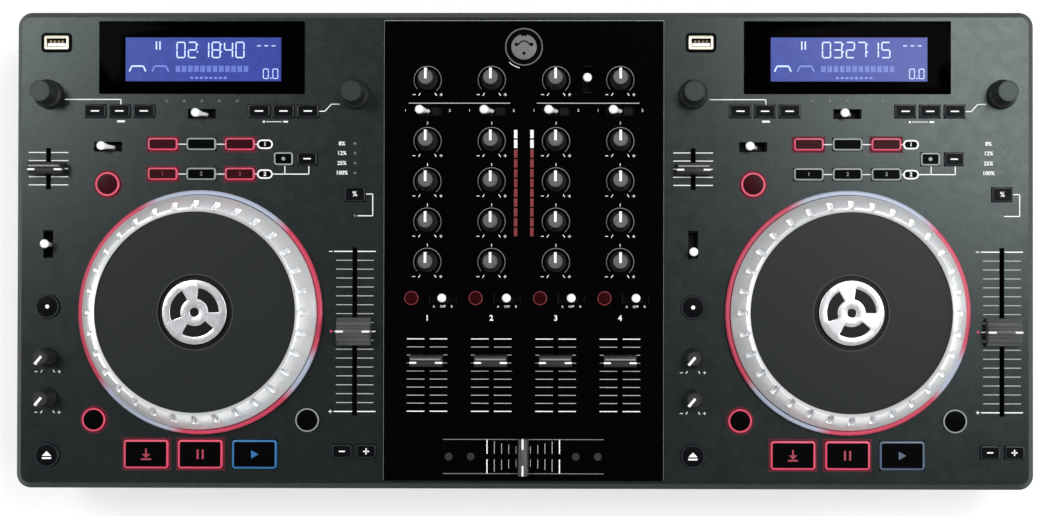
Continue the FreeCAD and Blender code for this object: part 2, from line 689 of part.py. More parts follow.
def lever(name, surface, x, y, rest="0", across=False):
    """A selector lever on its slider, and the fixed channel and slot under it."""
    run = "(2 * lever_throw + lever_base_length + 2 * end_gap)"
    rise = f"({surface.under} - seat_gap - {BOARD_TOP})"
    rail = block(name + "_rail", "lever_slot_width + 2 * track_wall", f"{run} + 2 * track_wall", rise, BOARD_TOP)
    channel = block(name + "_channel", "lever_slot_width", run, rise, f"{BOARD_TOP} + track_wall")
    track = cut(name + "_track", rail, [channel])
    slot = block(name + "_slot", "lever_slot_width", "lever_slot_length",
                 f"{surface.thickness} * 3", f"{surface.under} - {surface.thickness}")
    foot = f"({BOARD_TOP} + track_wall + end_gap)"
    slider = block(name + "_slider", "lever_slot_width - 2 * slide_clearance", "lever_base_length",
                   "lever_base_height", foot)
    crown = f"({surface.top} + lever_height - {foot})"
    stick = turned(name + "_stick", [
        ("0", "0"),
        ("lever_stem", "0"),
        ("lever_stem", f"{surface.top} - {foot}"),
        ("lever_head", f"{crown} - lever_stem"),
        ("lever_head - knob_edge", crown),
        ("0", crown),
    ])
    put(stick, z=foot)
    made = joined(name, [slider, stick])
    opening = group(name + "_opening", [slot])
    if across:
        for piece in (track, opening, made):
            piece.Placement.Rotation = QUARTER_TURN
    bases.append(put(track, x, y))
    surface.cuts.append(put(opening, x, y))
    return put(made, x, f"{y} + {rest}")


def toggle(name, surface, x, y):
    """An input lever that tilts in its housing, thrown to the left, and the fixed housing and slot."""
    pivot = f"({surface.under} - seat_gap - toggle_hub - slide_clearance)"
    rise = f"({surface.under} - seat_gap - {BOARD_TOP})"
    inside = "(toggle_hub_length + 2 * slide_clearance)"
    housing = block(name + "_housing", "lever_slot_length + 2 * track_wall", f"{inside} + 2 * track_wall",
                    rise, BOARD_TOP, x, y)
    seat = level_rod(name + "_seat", "toggle_hub + slide_clearance", inside, x, f"{y} - {inside} / 2", pivot)
    mouth = block(name + "_mouth", "lever_slot_length", inside, rise, pivot, x, y)
    bases.append(cut(name + "_base", housing, [seat, mouth]))
    surface.cuts.append(block(name + "_slot", "lever_slot_length", "lever_slot_width",
                              f"{surface.thickness} * 3", f"{surface.under} - {surface.thickness}", x, y))
    crown = f"({surface.top} + lever_height - {pivot})"
    hub = level_rod(name + "_hub", "toggle_hub", "toggle_hub_length", "0", "-toggle_hub_length / 2", "0")
    stick = turned(name + "_stick", [
        ("0", "0"),
        ("lever_stem", "0"),
        ("lever_stem", f"{surface.top} - {pivot}"),
        ("lever_head", f"{crown} - lever_stem"),
        ("lever_head - knob_edge", crown),
        ("0", crown),
    ])
    made = joined(name + "_lever", [hub, stick])
    made.Placement.Rotation = FreeCAD.Rotation(FreeCAD.Vector(0, 1, 0), -1)
    bind(made, **{"Placement.Rotation.Angle": "-1 * input_lean"})
    node(name, put(made, x, y, pivot))


def board_screw(name, x, y, seat):
    """A screw from below whose head bears on a board at the given level."""
    outline = [
        ("0", "0"),
        ("board_screw_head", "0"),
        ("board_screw_head", "board_screw_head_height"),
        ("board_screw_radius", "board_screw_head_height"),
        ("board_screw_radius", "board_screw_head_height + board_thickness + stud_bore_depth - end_gap"),
        ("0", "board_screw_head_height + board_thickness + stud_bore_depth - end_gap"),
    ]
    screws.append(put(turned(name, outline), x, y, f"{seat} - board_screw_head_height"))


def board(name, width, depth, middle_x, middle_y, under, stud_places, notches=()):
    """A circuit board with its screw holes, and the screws that hold it."""
    sheet_of_board = block(name + "_blank", width, depth, "board_thickness", under, middle_x, middle_y)
    holes = [
        rod(f"{name}_hole_{number}", "board_screw_radius + screw_clearance", "3 * board_thickness",
            f"{under} - board_thickness", x, y)
        for number, (x, y) in enumerate(stud_places, start=1)
    ]
    for number, (x, y) in enumerate(notches, start=1):
        holes.append(rod(f"{name}_notch_{number}", "case_boss_radius + knob_gap", "3 * board_thickness",
                         f"{under} - board_thickness", x, y))
    return cut(name, sheet_of_board, holes)


def hanging_studs(name, places, top):
    """Studs that reach from a panel down to a board, and the bores for its screws."""
    studs = []
    bores = []
    for number, (x, y) in enumerate(places, start=1):
        studs.append(rod(f"{name}_stud_{number}", "stud_radius", f"{top} - {BOARD_TOP}", BOARD_TOP, x, y))
        bores.append(rod(f"{name}_bore_{number}", "board_screw_radius + grip_clearance",
                         "stud_bore_depth", BOARD_TOP, x, y))
        board_screw(f"{name}_screw_{number}", x, y, BOARD_UNDER)
    return studs, bores


# ---------------------------------------------------------------- mixer
def build_mixer():
    """Mixer plate, its knobs, faders, levers, keys, sockets and board."""
    rows = {
        "gain": "gain_row",
        "treble": "treble_row",
        "middle": "(treble_row - tone_pitch)",
        "bass": "(treble_row - 2 * tone_pitch)",
    }
    for (number, column), master in zip(CHANNELS, ("cue_mix", "cue_gain", "booth", "master")):
        knob(f"{master}_knob", plate, "mixer", column, "master_row")
        for tone, row in rows.items():
            knob(f"{tone}_knob_{number}", plate, "mixer", column, row)
        toggle(f"input_lever_{number}", plate, column, "input_row")
        select_levers.append(
            lever(f"assign_lever_{number}", plate, f"{column} + listen_offset", "listen_row", across=True))
        round_keys.append(round_key(f"listen_key_{number}", plate, "listen_key_radius",
                                    f"{column} - listen_offset", "listen_row"))
        channel_caps.append(fader(f"channel_fader_{number}", plate, "channel", column,
                                  "channel_fader_row", "channel_fader_rest"))
    reverse_levers.append(lever("stereo_lever", plate, "stereo_lever_x", "stereo_lever_y"))

    # crossfader: its own small plate over a wider opening in the mixer plate
    cross_surface = Surface(f"({PLATE_TOP} + cross_plate_thickness)", "(cross_plate_thickness + plate_thickness)")
    cross_cap = fader("cross_fader", cross_surface, "cross", "0", CROSS_ROW, across=True)
    node("crossfader_cap", cross_cap)
    cross_cuts = list(cross_surface.cuts)
    plate.opening("crossfader_window", "cross_travel + stem_length + 4 * slot_gap", "3 * slot_gap", "0", CROSS_ROW)
    sheet_piece = rounded_block("crossfader_sheet", "cross_plate_width", "cross_plate_depth",
                                "cross_plate_thickness", "plate_corner / 2", PLATE_TOP, "0", CROSS_ROW)
    for number, column in enumerate(("-cross_screw_outer", "-cross_screw_inner",
                                     "cross_screw_inner", "cross_screw_outer"), start=1):
        cross_cuts.append(rod(f"cross_hole_{number}", "cross_screw_radius + screw_clearance",
                              "3 * cross_plate_thickness", f"{PLATE_TOP} - cross_plate_thickness",
                              column, CROSS_ROW))
        plate.hole(f"cross_thread_{number}", "cross_screw_radius + grip_clearance", column, CROSS_ROW)
        top = "(plate_thickness + cross_plate_thickness)"
        screws.append(put(turned(f"cross_screw_{number}", [
            ("0", "0"),
            ("cross_screw_radius", "0"),
            ("cross_screw_radius", top),
            ("cross_screw_head", top),
            ("cross_screw_head", f"{top} + cross_screw_head_height"),
            ("0", f"{top} + cross_screw_head_height"),
        ]), column, CROSS_ROW, "panel_top"))
    cross_plate = cut("crossfader_plate", sheet_piece, cross_cuts)

    # microphone socket
    gap_floor = "(mic_reach - mic_gap_depth)"
    rim = "(mic_reach + mic_flange_height)"
    shell = turned("mic_shell", [
        ("jack_bore", rim),
        ("jack_bore", "mic_reach - jack_depth"),
        ("0", "mic_reach - jack_depth"),
        ("0", "0"),
        ("mic_barrel_radius", "0"),
        ("mic_barrel_radius", "mic_reach"),
        ("mic_flange_radius", "mic_reach"),
        ("mic_flange_radius", rim),
        ("mic_insert_radius + mic_ring_gap", rim),
        ("mic_insert_radius + mic_ring_gap", gap_floor),
        ("mic_insert_radius", gap_floor),
        ("mic_insert_radius", rim),
    ])
    audio_sockets.append(put(shell, "0", MIC_ROW, f"{PLATE_TOP} - mic_reach"))
    plate.hole("mic_hole", "mic_barrel_radius + hole_clearance", "0", MIC_ROW)

    # level meters: a bar each side of the middle, standing on the mixer board
    for sign in ("-1", "1"):
        name = "left_meter" if sign == "-1" else "right_meter"
        column = f"({sign} * meter_offset)"
        bar = block(name, "meter_width", "meter_length", f"{PLATE_TOP} - {BOARD_TOP}", BOARD_TOP, column, "meter_row")
        displays.append(bar)
        plate.opening(name + "_window", "meter_width + 2 * hole_clearance",
                      "meter_length + 2 * hole_clearance", column, "meter_row")

    places = [
        (f"{side} * mixer_stud_side", f"{end} * mixer_stud_reach")
        for side in ("-1", "1") for end in ("-1", "1")
    ]
    studs, bores = hanging_studs("mixer", places, "panel_top")
    blank = rounded_block("mixer_blank", "plate_width", "plate_depth", "plate_thickness",
                          "plate_corner", "panel_top")
    mixer_plate = cut("mixer_plate", joined("mixer_body", [blank] + studs), plate.cuts + bores)
    node("mixer_plates", group("mixer_plates_group", [mixer_plate, cross_plate]))
    mic_notch = rod("mic_notch", "mic_barrel_radius + hole_clearance", "3 * board_thickness",
                    f"{BOARD_UNDER} - board_thickness", "0", MIC_ROW)
    mixer_board = board("mixer_board_blank", "mixer_board_width", "mixer_board_depth", "0", "0", BOARD_UNDER, places)
    electronics.append(cut("mixer_board", mixer_board, [mic_notch]))
    panel.opening("mixer_opening", "plate_width - 2 * plate_lip", "plate_depth - 2 * plate_lip", "0", "0")


# ---------------------------------------------------------------- decks
def build_deck(side, centre):
    """Everything of one deck: display, keys, knobs, faders, levers, jog wheel and board."""
    left_column = f"({centre} - side_column)"
    right_column = f"({centre} + side_column)"

    # display: frame on the panel, screen rising through it from the board
    frame = rounded_block(f"{side}_window_frame", "window_width", "window_depth", "window_thickness",
                          "window_corner", "panel_top", centre, "display_row")
    view = block(f"{side}_window_view", "screen_width + 2 * hole_clearance", "screen_depth + 2 * hole_clearance",
                 "3 * window_thickness", "panel_top - window_thickness", centre, "display_row")
    windows.append(cut(f"{side}_display_window", frame, [view]))
    panel.opening(f"{side}_display_opening", "window_width - 2 * window_lip",
                  "window_depth - 2 * window_lip", centre, "display_row")
    housing = block(f"{side}_display_housing", "module_width", "module_depth",
                    f"panel_top - end_gap - {BOARD_TOP}", BOARD_TOP, centre, "display_row")
    screen = block(f"{side}_display_screen", "screen_width", "screen_depth", f"screen_rise + end_gap",
                   "panel_top - end_gap", centre, "display_row")
    displays.append(joined(f"{side}_display", [housing, screen]))

    # memory-stick socket
    usb_x = f"({centre} - usb_offset)"
    shell = block(f"{side}_usb_shell", "usb_width", "usb_depth",
                  f"panel_top + usb_rise - {BOARD_TOP}", BOARD_TOP, usb_x, "usb_row")
    mouth = block(f"{side}_usb_mouth", "usb_mouth_width", "usb_mouth_depth", "usb_reach + usb_rise",
                  "panel_top + usb_rise - usb_reach", usb_x, "usb_row")
    hollow = cut(f"{side}_usb_hollow", shell, [mouth])
    tongue = block(f"{side}_usb_tongue", "usb_tongue_width", "usb_tongue_depth", "usb_reach - usb_rise",
                   "panel_top + usb_rise - usb_reach", usb_x, "usb_row")
    data_sockets.append(joined(f"{side}_usb", [hollow, tongue]))
    panel.opening(f"{side}_usb_opening", "usb_width + 2 * hole_clearance",
                  "usb_depth + 2 * hole_clearance", usb_x, "usb_row")

    # knobs
    knob(f"parameter_knob_{side}", panel, "encoder", left_column, "encoder_row")
    knob(f"track_knob_{side}", panel, "encoder", right_column, "encoder_row")
    knob(f"stop_time_knob_{side}", panel, "time", left_column, "stop_time_row", "time_knob_rest")
    knob(f"start_time_knob_{side}", panel, "time", left_column, "start_time_row", "time_knob_rest")

    # rectangular keys
    for bank, sign in (("left", "-1"), ("right", "1")):
        for step in (-1, 0, 1):
            keys.append(key(f"{side}_menu_key_{bank}_{step + 2}", panel, "menu_key_width", "menu_key_depth",
                            f"({centre} + {sign} * menu_bank + {step} * menu_pitch)", "menu_row"))
    for line in (0, 1):
        for step in (-1, 0, 1):
            keys.append(key(f"{side}_loop_key_{line + 1}_{step + 2}", panel, "loop_key_width", "loop_key_depth",
                            f"({centre} + {step} * loop_pitch)", f"(loop_row - {line} * loop_row_pitch)"))
    for name, sign in (("record", "-0.5"), ("mode", "0.5")):
        keys.append(key(f"{side}_{name}_key", panel, "small_key_width", "small_key_depth",
                        f"({centre} + function_middle + {sign} * function_pitch)", "function_row"))
    for name, sign in (("slower", "-0.5"), ("faster", "0.5")):
        keys.append(key(f"{side}_{name}_key", panel, "small_key_width", "small_key_depth",
                        f"({right_column} + {sign} * bend_pitch)", "bend_row"))
    keys.append(key(f"{side}_range_key", panel, "range_key_width", "range_key_depth", right_column, "range_row"))
    transport = [
        key(f"{side}_{name}_key", panel, "transport_key_width", "transport_key_depth",
            f"({centre} + {step} * transport_pitch)", "transport_row")
        for name, step in (("cue", -1), ("pause", 0), ("play", 1))
    ]
    node(f"transport_buttons_{side}", group(f"{side}_transport", transport))

    # round keys
    for name, x, y in (
        ("effect", f"({centre} - effect_column)", "effect_key_row"),
        ("tap", left_column, "tap_row"),
        ("scratch", f"({centre} - scratch_column)", "scratch_row"),
        ("search", f"({centre} + scratch_column)", "scratch_row"),
        ("eject", left_column, EJECT_ROW),
    ):
        round_keys.append(round_key(f"{side}_{name}_key", panel, "round_key_radius", x, y))

    # levers and faders
    select_levers.append(lever(f"{side}_shift_lever", panel, centre, "shift_row", across=True))
    select_levers.append(lever(f"{side}_effect_lever", panel, f"({centre} - effect_column)",
                               "effect_lever_row", across=True))
    pulled = "-1 * lever_throw" if side == "right" else "0"
    reverse_levers.append(lever(f"{side}_reverse_lever", panel, left_column, "reverse_row", pulled))
    effect_caps.append(fader(f"{side}_effect_fader", panel, "effect", left_column, "effect_fader_row"))
    node(f"pitch_fader_{side}", fader(f"{side}_pitch_fader", panel, "pitch", right_column, "pitch_fader_row"))

    build_jog(side, centre)

    # board, carried by studs under the panel
    places = []
    for sign in ("-1", "1"):
        places.append((f"({centre} + {sign} * deck_stud_wide)", "deck_stud_rear"))
        places.append((f"({centre} + {sign} * deck_stud_narrow)", "-deck_stud_front"))
    studs, bores = hanging_studs(side, places, PANEL_UNDER)
    panel_studs.extend(studs)
    panel.cuts.extend(bores)
    near_bosses = [place for place in CASE_BOSSES if ("-1 *" in place[0]) == (side == "left")]
    electronics.append(board(f"{side}_deck_board", "deck_board_width", "deck_board_depth", centre, "0",
                        BOARD_UNDER, places, near_bosses))


def build_jog(side, centre):
    """Jog wheel of one deck: spindle, light ring, outer ring and centre disc."""
    foot_length = f"(panel_top - {BOARD_TOP})"
    flange_top = f"({foot_length} + spindle_flange_height)"
    shaft_top = f"({DISC_TOP} - disc_thickness - {BOARD_TOP})"
    bases.append(put(turned(f"{side}_spindle", [
        ("0", "0"),
        ("spindle_foot_radius", "0"),
        ("spindle_foot_radius", foot_length),
        ("spindle_flange_radius", foot_length),
        ("spindle_flange_radius", flange_top),
        ("spindle_radius", flange_top),
        ("spindle_radius", shaft_top),
        ("0", shaft_top),
    ]), centre, "jog_row", BOARD_TOP))
    panel.hole(f"{side}_spindle_hole", "spindle_foot_radius + grip_clearance", centre, "jog_row")

    glow_rings.append(put(turned(f"{side}_glow_ring", [
        ("glow_outer_radius - glow_width", "0"),
        ("glow_outer_radius", "0"),
        ("glow_outer_radius", "glow_height - knob_edge"),
        ("glow_outer_radius - knob_edge", "glow_height"),
        ("glow_outer_radius - glow_width", "glow_height"),
    ]), centre, "jog_row", "panel_top"))

    bore = "(spindle_radius + running_clearance)"
    ring = turned(f"jog_ring_{side}", [
        (bore, "0"),
        ("jog_radius", "0"),
        ("jog_radius", "jog_height - jog_slope"),
        ("jog_inner_radius + jog_rim", "jog_height"),
        ("jog_inner_radius", "jog_height"),
        ("jog_inner_radius", "jog_web"),
        (bore, "jog_web"),
    ])
    notch = ring.newObject("PartDesign::SubtractiveBox", f"{side}_notch")
    bind(notch, Length="jog_radius - jog_inner_radius", Width="notch_width", Height="notch_drop * 2")
    put(notch, "jog_inner_radius + jog_rim + notch_inset", "-notch_width / 2", "jog_height - notch_drop")
    notches = ring.newObject("PartDesign::PolarPattern", f"{side}_notches")
    notches.Originals = [notch]
    notches.Axis = (origin_feature(ring, "Z_Axis"), [""])
    notches.Angle = 360
    notches.Refine = False
    bind(notches, Occurrences="notch_count")
    ring.Tip = notches
    node(f"jog_ring_{side}", put(ring, centre, "jog_row", RING_BASE))

    face = f"({DISC_TOP} - {DISC_BASE})"
    outer = "(jog_inner_radius - disc_gap)"
    disc = turned(f"jog_disc_{side}", [
        (bore, "0"),
        ("jog_hub_radius", "0"),
        ("jog_hub_radius", f"{face} - disc_thickness"),
        (outer, f"{face} - disc_thickness"),
        (outer, face),
        ("hub_recess_radius", face),
        ("hub_recess_radius", f"{face} - hub_recess_depth"),
        ("hub_cap_radius", f"{face} - hub_recess_depth"),
        ("hub_cap_radius", f"{face} + hub_cap_rise"),
        ("0", f"{face} + hub_cap_rise"),
        ("0", f"{face} - disc_thickness + end_gap"),
        (bore, f"{face} - disc_thickness + end_gap"),
    ])
    node(f"jog_disc_{side}", put(disc, centre, "jog_row", DISC_BASE))


# ---------------------------------------------------------------- case and contents
def build_tray():
    """Bottom tray with its flange, pillars, drive posts, slots, socket holes and feet."""
    wide = "(case_width - 2 * tray_inset)"
    deep = "(case_depth - tray_inset - tray_rear_inset)"
    middle = "((tray_inset - tray_rear_inset) / 2)"
    box = rounded_block("tray_box", wide, deep, "split_level - foot_height", "corner_radius - tray_inset",
                        "foot_height", "0", middle)
    flange = rounded_block("tray_flange", "case_width", "case_depth", "sheet", "corner_radius", "split_level - sheet")
    hollow = rounded_block("tray_hollow", f"{wide} - 2 * sheet", f"{deep} - 2 * sheet", "split_level - foot_height",
                           "corner_radius - tray_inset - sheet", FLOOR_TOP, "0", middle)
    shell = cut("tray_shell", joined("tray_outside", [box, flange]), [hollow])
    pieces = [shell]
    cuts = []
    pillar = f"(split_level - {FLOOR_TOP})"
    for number, (x, y) in enumerate(CASE_BOSSES, start=1):
        pieces.append(rod(f"tray_boss_{number}", "case_boss_radius", pillar, FLOOR_TOP, x, y))
        cuts.append(rod(f"tray_boss_well_{number}", "case_screw_head + screw_clearance",
                        "split_level - case_screw_seat", "0", x, y))
        cuts.append(rod(f"tray_boss_hole_{number}", "case_screw_radius + screw_clearance",
                        "split_level", "sheet", x, y))
        top = "(case_screw_head_height + case_screw_seat + case_screw_reach)"
        screws.append(put(turned(f"case_screw_{number}", [
            ("0", "0"),
            ("case_screw_head", "0"),
            ("case_screw_head", "case_screw_head_height"),
            ("case_screw_radius", "case_screw_head_height"),
            ("case_screw_radius", top),
            ("0", top),
        ]), x, y, "split_level - case_screw_seat - case_screw_head_height"))
    for side, centre in DECKS:
        for number, (across, along) in enumerate((("-1", "0"), ("1", "0"), ("-1", "1"), ("1", "1")), start=1):
            pieces.append(rod(f"{side}_drive_post_{number}", "drive_post_radius", "drive_rise", FLOOR_TOP,
                              f"({centre} + {across} * (drive_width / 2 - drive_post_inset))",
                              f"({FRONT_WALL} + sheet + end_gap + drive_post_inset"
                              f" + {along} * (drive_depth - 2 * drive_post_inset))"))
        cuts.append(block(f"{side}_slot_opening", "slot_width", "4 * sheet", "slot_height",
                          f"{FLOOR_TOP} + drive_rise + slot_level - slot_height / 2", centre, FRONT_WALL))
    for number, (x, y) in enumerate(main_studs(), start=1):
        pieces.append(rod(f"main_stud_{number}", "stud_radius", "main_board_rise", FLOOR_TOP, x, y))
        cuts.append(rod(f"main_bore_{number}", "board_screw_radius + grip_clearance",
                        "stud_bore_depth", f"{FLOOR_TOP} + main_board_rise - stud_bore_depth", x, y))
    for number, (x, y) in enumerate(feet_places(), start=1):
        cuts.append(rod(f"foot_hole_{number}", "foot_plug_radius + grip_clearance", "4 * sheet",
                        "foot_height - sheet", x, y))
    cuts.extend(socket_holes())
    node("bottom_tray", cut("bottom_tray_cut", joined("tray_body", pieces), cuts))


def feet_places():
    """Corner feet, and one in the middle of the front and of the rear."""
    side = "(case_width / 2 - foot_inset)"
    end = "(case_depth / 2 - foot_inset)"
    return [(f"{across} * {side}", f"{along} * {end}") for across in ("-1", "0", "1") for along in ("-1", "1")]


def build_feet():
    """Rubber feet whose plugs pass through the tray floor."""
    made = []
    for number, (x, y) in enumerate(feet_places(), start=1):
        made.append(put(turned(f"foot_{number}", [
            ("0", "0"),
            ("foot_radius - foot_draft", "0"),
            ("foot_radius", "foot_height"),
            ("foot_plug_radius", "foot_height"),
            ("foot_plug_radius", "foot_height + sheet + foot_plug_rise"),
            ("0", "foot_height + sheet + foot_plug_rise"),
        ]), x, y))
    node("feet", group("rubber_feet", made))


def main_studs():
    """Places of the studs under the board in the tray."""
    side = "(main_board_width / 2 - main_stud_inset)"
    end = "(main_board_depth / 2 - main_stud_inset)"
    return [(f"{across} * {side}", f"main_board_y + {along} * {end}") for across in ("-1", "1") for along in ("-1", "1")]


def build_contents():
    """Disc drives, power supply and the board in the tray."""
    drives = []
    for side, centre in DECKS:
        front = f"({FRONT_WALL} + sheet + end_gap)"
        level = f"({FLOOR_TOP} + drive_rise)"
        body = block(f"{side}_drive_body", "drive_width", "drive_depth", "drive_height", level,
                     centre, f"{front} + drive_depth / 2")
        pocket = block(f"{side}_drive_pocket", "slot_width", "slot_reach", "slot_height",
                       f"{level} + slot_level - slot_height / 2", centre, f"{front} + slot_reach / 2")
        drives.append(cut(f"{side}_drive", body, [pocket]))
    node("disc_drives", group("both_drives", drives))
    supply = rounded_block("supply_case", "supply_width", "supply_depth", "supply_height", "plate_corner",
                           FLOOR_TOP, "supply_x", SUPPLY_ROW)
    electronics.append(supply)
    level = f"({FLOOR_TOP} + main_board_rise)"
    electronics.append(board("main_board", "main_board_width", "main_board_depth", "0", "main_board_y", level, main_studs()))
    for number, (x, y) in enumerate(main_studs(), start=1):
        length = "(board_thickness + stud_bore_depth - end_gap)"
        screws.append(put(turned(f"main_screw_{number}", [
            ("0", "0"),
            ("board_screw_radius", "0"),
            ("board_screw_radius", length),
            ("board_screw_head", length),
            ("board_screw_head", f"{length} + board_screw_head_height"),
            ("0", f"{length} + board_screw_head_height"),
        ]), x, y, f"{level} + board_thickness - {length}"))


def phono_places():
    """Places of the phono sockets on the rear wall."""
    return [
        (f"(phono_first_x + {pair} * phono_pitch_x)", f"(socket_level + {row} * phono_pitch_z / 2)")
        for pair in range(PHONO_PAIRS) for row in ("-1", "1")
    ]


def socket_holes():
    """Holes through the rear and front walls of the tray."""
    wall = f"({REAR_WALL} - 2 * sheet)"
    holes = [
        level_rod(f"phono_hole_{number}", "phono_radius + grip_clearance", "4 * sheet", x, wall, z)
        for number, (x, z) in enumerate(phono_places(), start=1)
    ]
    holes.append(block("inlet_hole", "inlet_width + 2 * grip_clearance", "4 * sheet", "inlet_height + 2 * grip_clearance",
                       "socket_level - inlet_height / 2 - grip_clearance", "supply_x", REAR_WALL))
    holes.append(block("link_hole", "link_width + 2 * grip_clearance", "4 * sheet", "link_height + 2 * grip_clearance",
                       "socket_level - link_height / 2 - grip_clearance", "link_x", REAR_WALL))
    holes.append(level_rod("jack_hole", "jack_bush_radius + grip_clearance", "4 * sheet",
                           "jack_x", f"{FRONT_WALL} - sheet", "socket_level"))
    return holes


def build_sockets():
    """Phono, mains and data sockets on the rear wall and the headphone jack in front."""
    inner = f"({REAR_WALL} - sheet)"
    for number, (x, z) in enumerate(phono_places(), start=1):
        barrel = level_rod(f"phono_barrel_{number}", "phono_radius", "phono_length + sheet", x, inner, z)
        body = block(f"phono_body_{number}", "phono_body", "phono_body_length", "phono_body",
                     f"{z} - phono_body / 2", x, f"{inner} - phono_body_length / 2")
        bore = level_rod(f"phono_bore_{number}", "phono_bore", "phono_length + sheet", x,
                         f"{inner} + sheet / 2", z)
        audio_sockets.append(cut(f"phono_{number}", joined(f"phono_solid_{number}", [barrel, body]), [bore]))
    for name, wide, high, x in (("inlet", "inlet_width", "inlet_height", "supply_x"),
                                ("link", "link_width", "link_height", "link_x")):
        body = block(f"{name}_body", wide, "inlet_depth + sheet", high, f"socket_level - {high} / 2", x,
                     f"{REAR_WALL} - (inlet_depth + sheet) / 2")
        flange = block(f"{name}_flange", f"{wide} + inlet_flange", "sheet / 2", f"{high} + inlet_flange",
                       f"socket_level - ({high} + inlet_flange) / 2", x, f"{REAR_WALL} + sheet / 4")
        mouth = block(f"{name}_mouth", f"{wide} - 2 * inlet_wall", "inlet_depth", f"{high} - 2 * inlet_wall",
                      f"socket_level - {high} / 2 + inlet_wall", x, f"{REAR_WALL} + sheet - inlet_depth / 2")
        data_sockets.append(cut(f"{name}_socket", joined(f"{name}_solid", [body, flange]), [mouth]))
    total = "(jack_flange_height + sheet + jack_body_length)"
    jack = turned("headphone_jack", [
        ("jack_bore", "0"),
        ("jack_flange_radius", "0"),
        ("jack_flange_radius", "jack_flange_height"),
        ("jack_bush_radius", "jack_flange_height"),
        ("jack_bush_radius", "jack_flange_height + sheet"),
        ("jack_body_radius", "jack_flange_height + sheet"),
        ("jack_body_radius", total),
        ("0", total),
        ("0", "jack_depth"),
        ("jack_bore", "jack_depth"),
    ])
    jack.Placement.Rotation = FreeCAD.Rotation(FreeCAD.Vector(1, 0, 0), -90)
    audio_sockets.append(put(jack, "jack_x", f"{FRONT_WALL} - jack_flange_height", "socket_level"))


def build_cover():
    """Top cover: the panel with its skirt, pillars, studs and every opening."""
    outside = rounded_block("cover_outside", "case_width", "case_depth", "panel_top - split_level",
                            "corner_radius", "split_level", chamfer="rim_chamfer")
    hollow = rounded_block("cover_hollow", "case_width - 2 * sheet", "case_depth - 2 * sheet",
                           "panel_top - split_level", "corner_radius - sheet", "split_level - sheet")
    shell = cut("cover_shell", outside, [hollow])
    pieces = [shell] + panel_studs
    cuts = list(panel.cuts)
    for number, (x, y) in enumerate(CASE_BOSSES, start=1):
        pieces.append(rod(f"cover_boss_{number}", "case_boss_radius", f"{PANEL_UNDER} - split_level",
                          "split_level", x, y))
        cuts.append(rod(f"cover_bore_{number}", "case_screw_radius + grip_clearance",
                        "case_screw_reach + end_gap", "split_level", x, y))
    node("top_cover", cut("top_cover_cut", joined("cover_body", pieces), cuts))


PHONO_PAIRS = next(value for alias, value, meaning in SIZES if alias == "phono_pairs")
select_levers = []
reverse_levers = []
round_keys = []
keys = []
channel_caps = []
effect_caps = []
displays = []
windows = []
audio_sockets = []
data_sockets = []
glow_rings = []
electronics = []
panel_studs = []

build_mixer()
for side, centre in DECKS:
    build_deck(side, centre)
build_tray()
build_feet()
build_contents()
build_sockets()
build_cover()
for label, pieces in (
    ("select_levers", select_levers),
    ("reverse_levers", reverse_levers),
    ("round_buttons", round_keys),
    ("key_buttons", keys),
    ("channel_fader_caps", channel_caps),
    ("effect_fader_caps", effect_caps),
    ("display_modules", displays),
    ("display_windows", windows),
    ("audio_sockets", audio_sockets),
    ("data_sockets", data_sockets),
    ("jog_light_rings", glow_rings),
    ("electronics", electronics),
    ("control_bases", bases),
    ("screws", screws),
):
    node(label, group(label + "_group", pieces))

doc.recompute()
for made in doc.Objects:
    if "Invalid" in made.State or "Error" in made.State:
        raise RuntimeError(f"{made.Label} failed: {made.State}")
os.makedirs("parts", exist_ok=True)
for made in nodes:
    if made.Shape.isNull() or not made.Shape.isValid():
        raise RuntimeError(f"{made.Label} has no valid shape")
    made.Shape.exportStep(f"parts/{made.Label}.step")
print(len(nodes), "sub-parts written")
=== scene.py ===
import math

import bpy
from mathutils import Matrix, Vector


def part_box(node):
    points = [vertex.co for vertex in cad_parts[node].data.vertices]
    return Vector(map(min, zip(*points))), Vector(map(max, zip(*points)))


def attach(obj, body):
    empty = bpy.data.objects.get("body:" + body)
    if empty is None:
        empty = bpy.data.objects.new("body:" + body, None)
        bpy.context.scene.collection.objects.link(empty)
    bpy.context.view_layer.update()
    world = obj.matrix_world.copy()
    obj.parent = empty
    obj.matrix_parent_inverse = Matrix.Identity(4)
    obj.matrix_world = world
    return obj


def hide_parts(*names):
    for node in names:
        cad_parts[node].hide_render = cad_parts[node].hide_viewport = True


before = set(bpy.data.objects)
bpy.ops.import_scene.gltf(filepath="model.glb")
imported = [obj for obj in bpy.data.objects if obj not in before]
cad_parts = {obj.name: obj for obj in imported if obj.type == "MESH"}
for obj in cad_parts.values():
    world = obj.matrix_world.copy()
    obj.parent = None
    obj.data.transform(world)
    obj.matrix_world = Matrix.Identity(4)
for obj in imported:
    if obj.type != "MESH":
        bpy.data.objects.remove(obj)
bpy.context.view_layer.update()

bl_info = {
    "name": "Dual disc player console",
    "version": (1, 0, 0),
    "blender": (4, 5, 0),
    "location": "View3D > Sidebar > Console",
    "description": "Dresses a two-deck disc player and mixer console around its packed frame",
    "category": "Object",
}

MM = 0.001

# Levels of the surfaces, in millimetres.
PANEL = 80.0
PLATE = 82.0
CROSS_PLATE = 83.0
PRINT_THICKNESS = 0.08
KEY_SINK = 0.35
SCREEN_SINK = 0.4

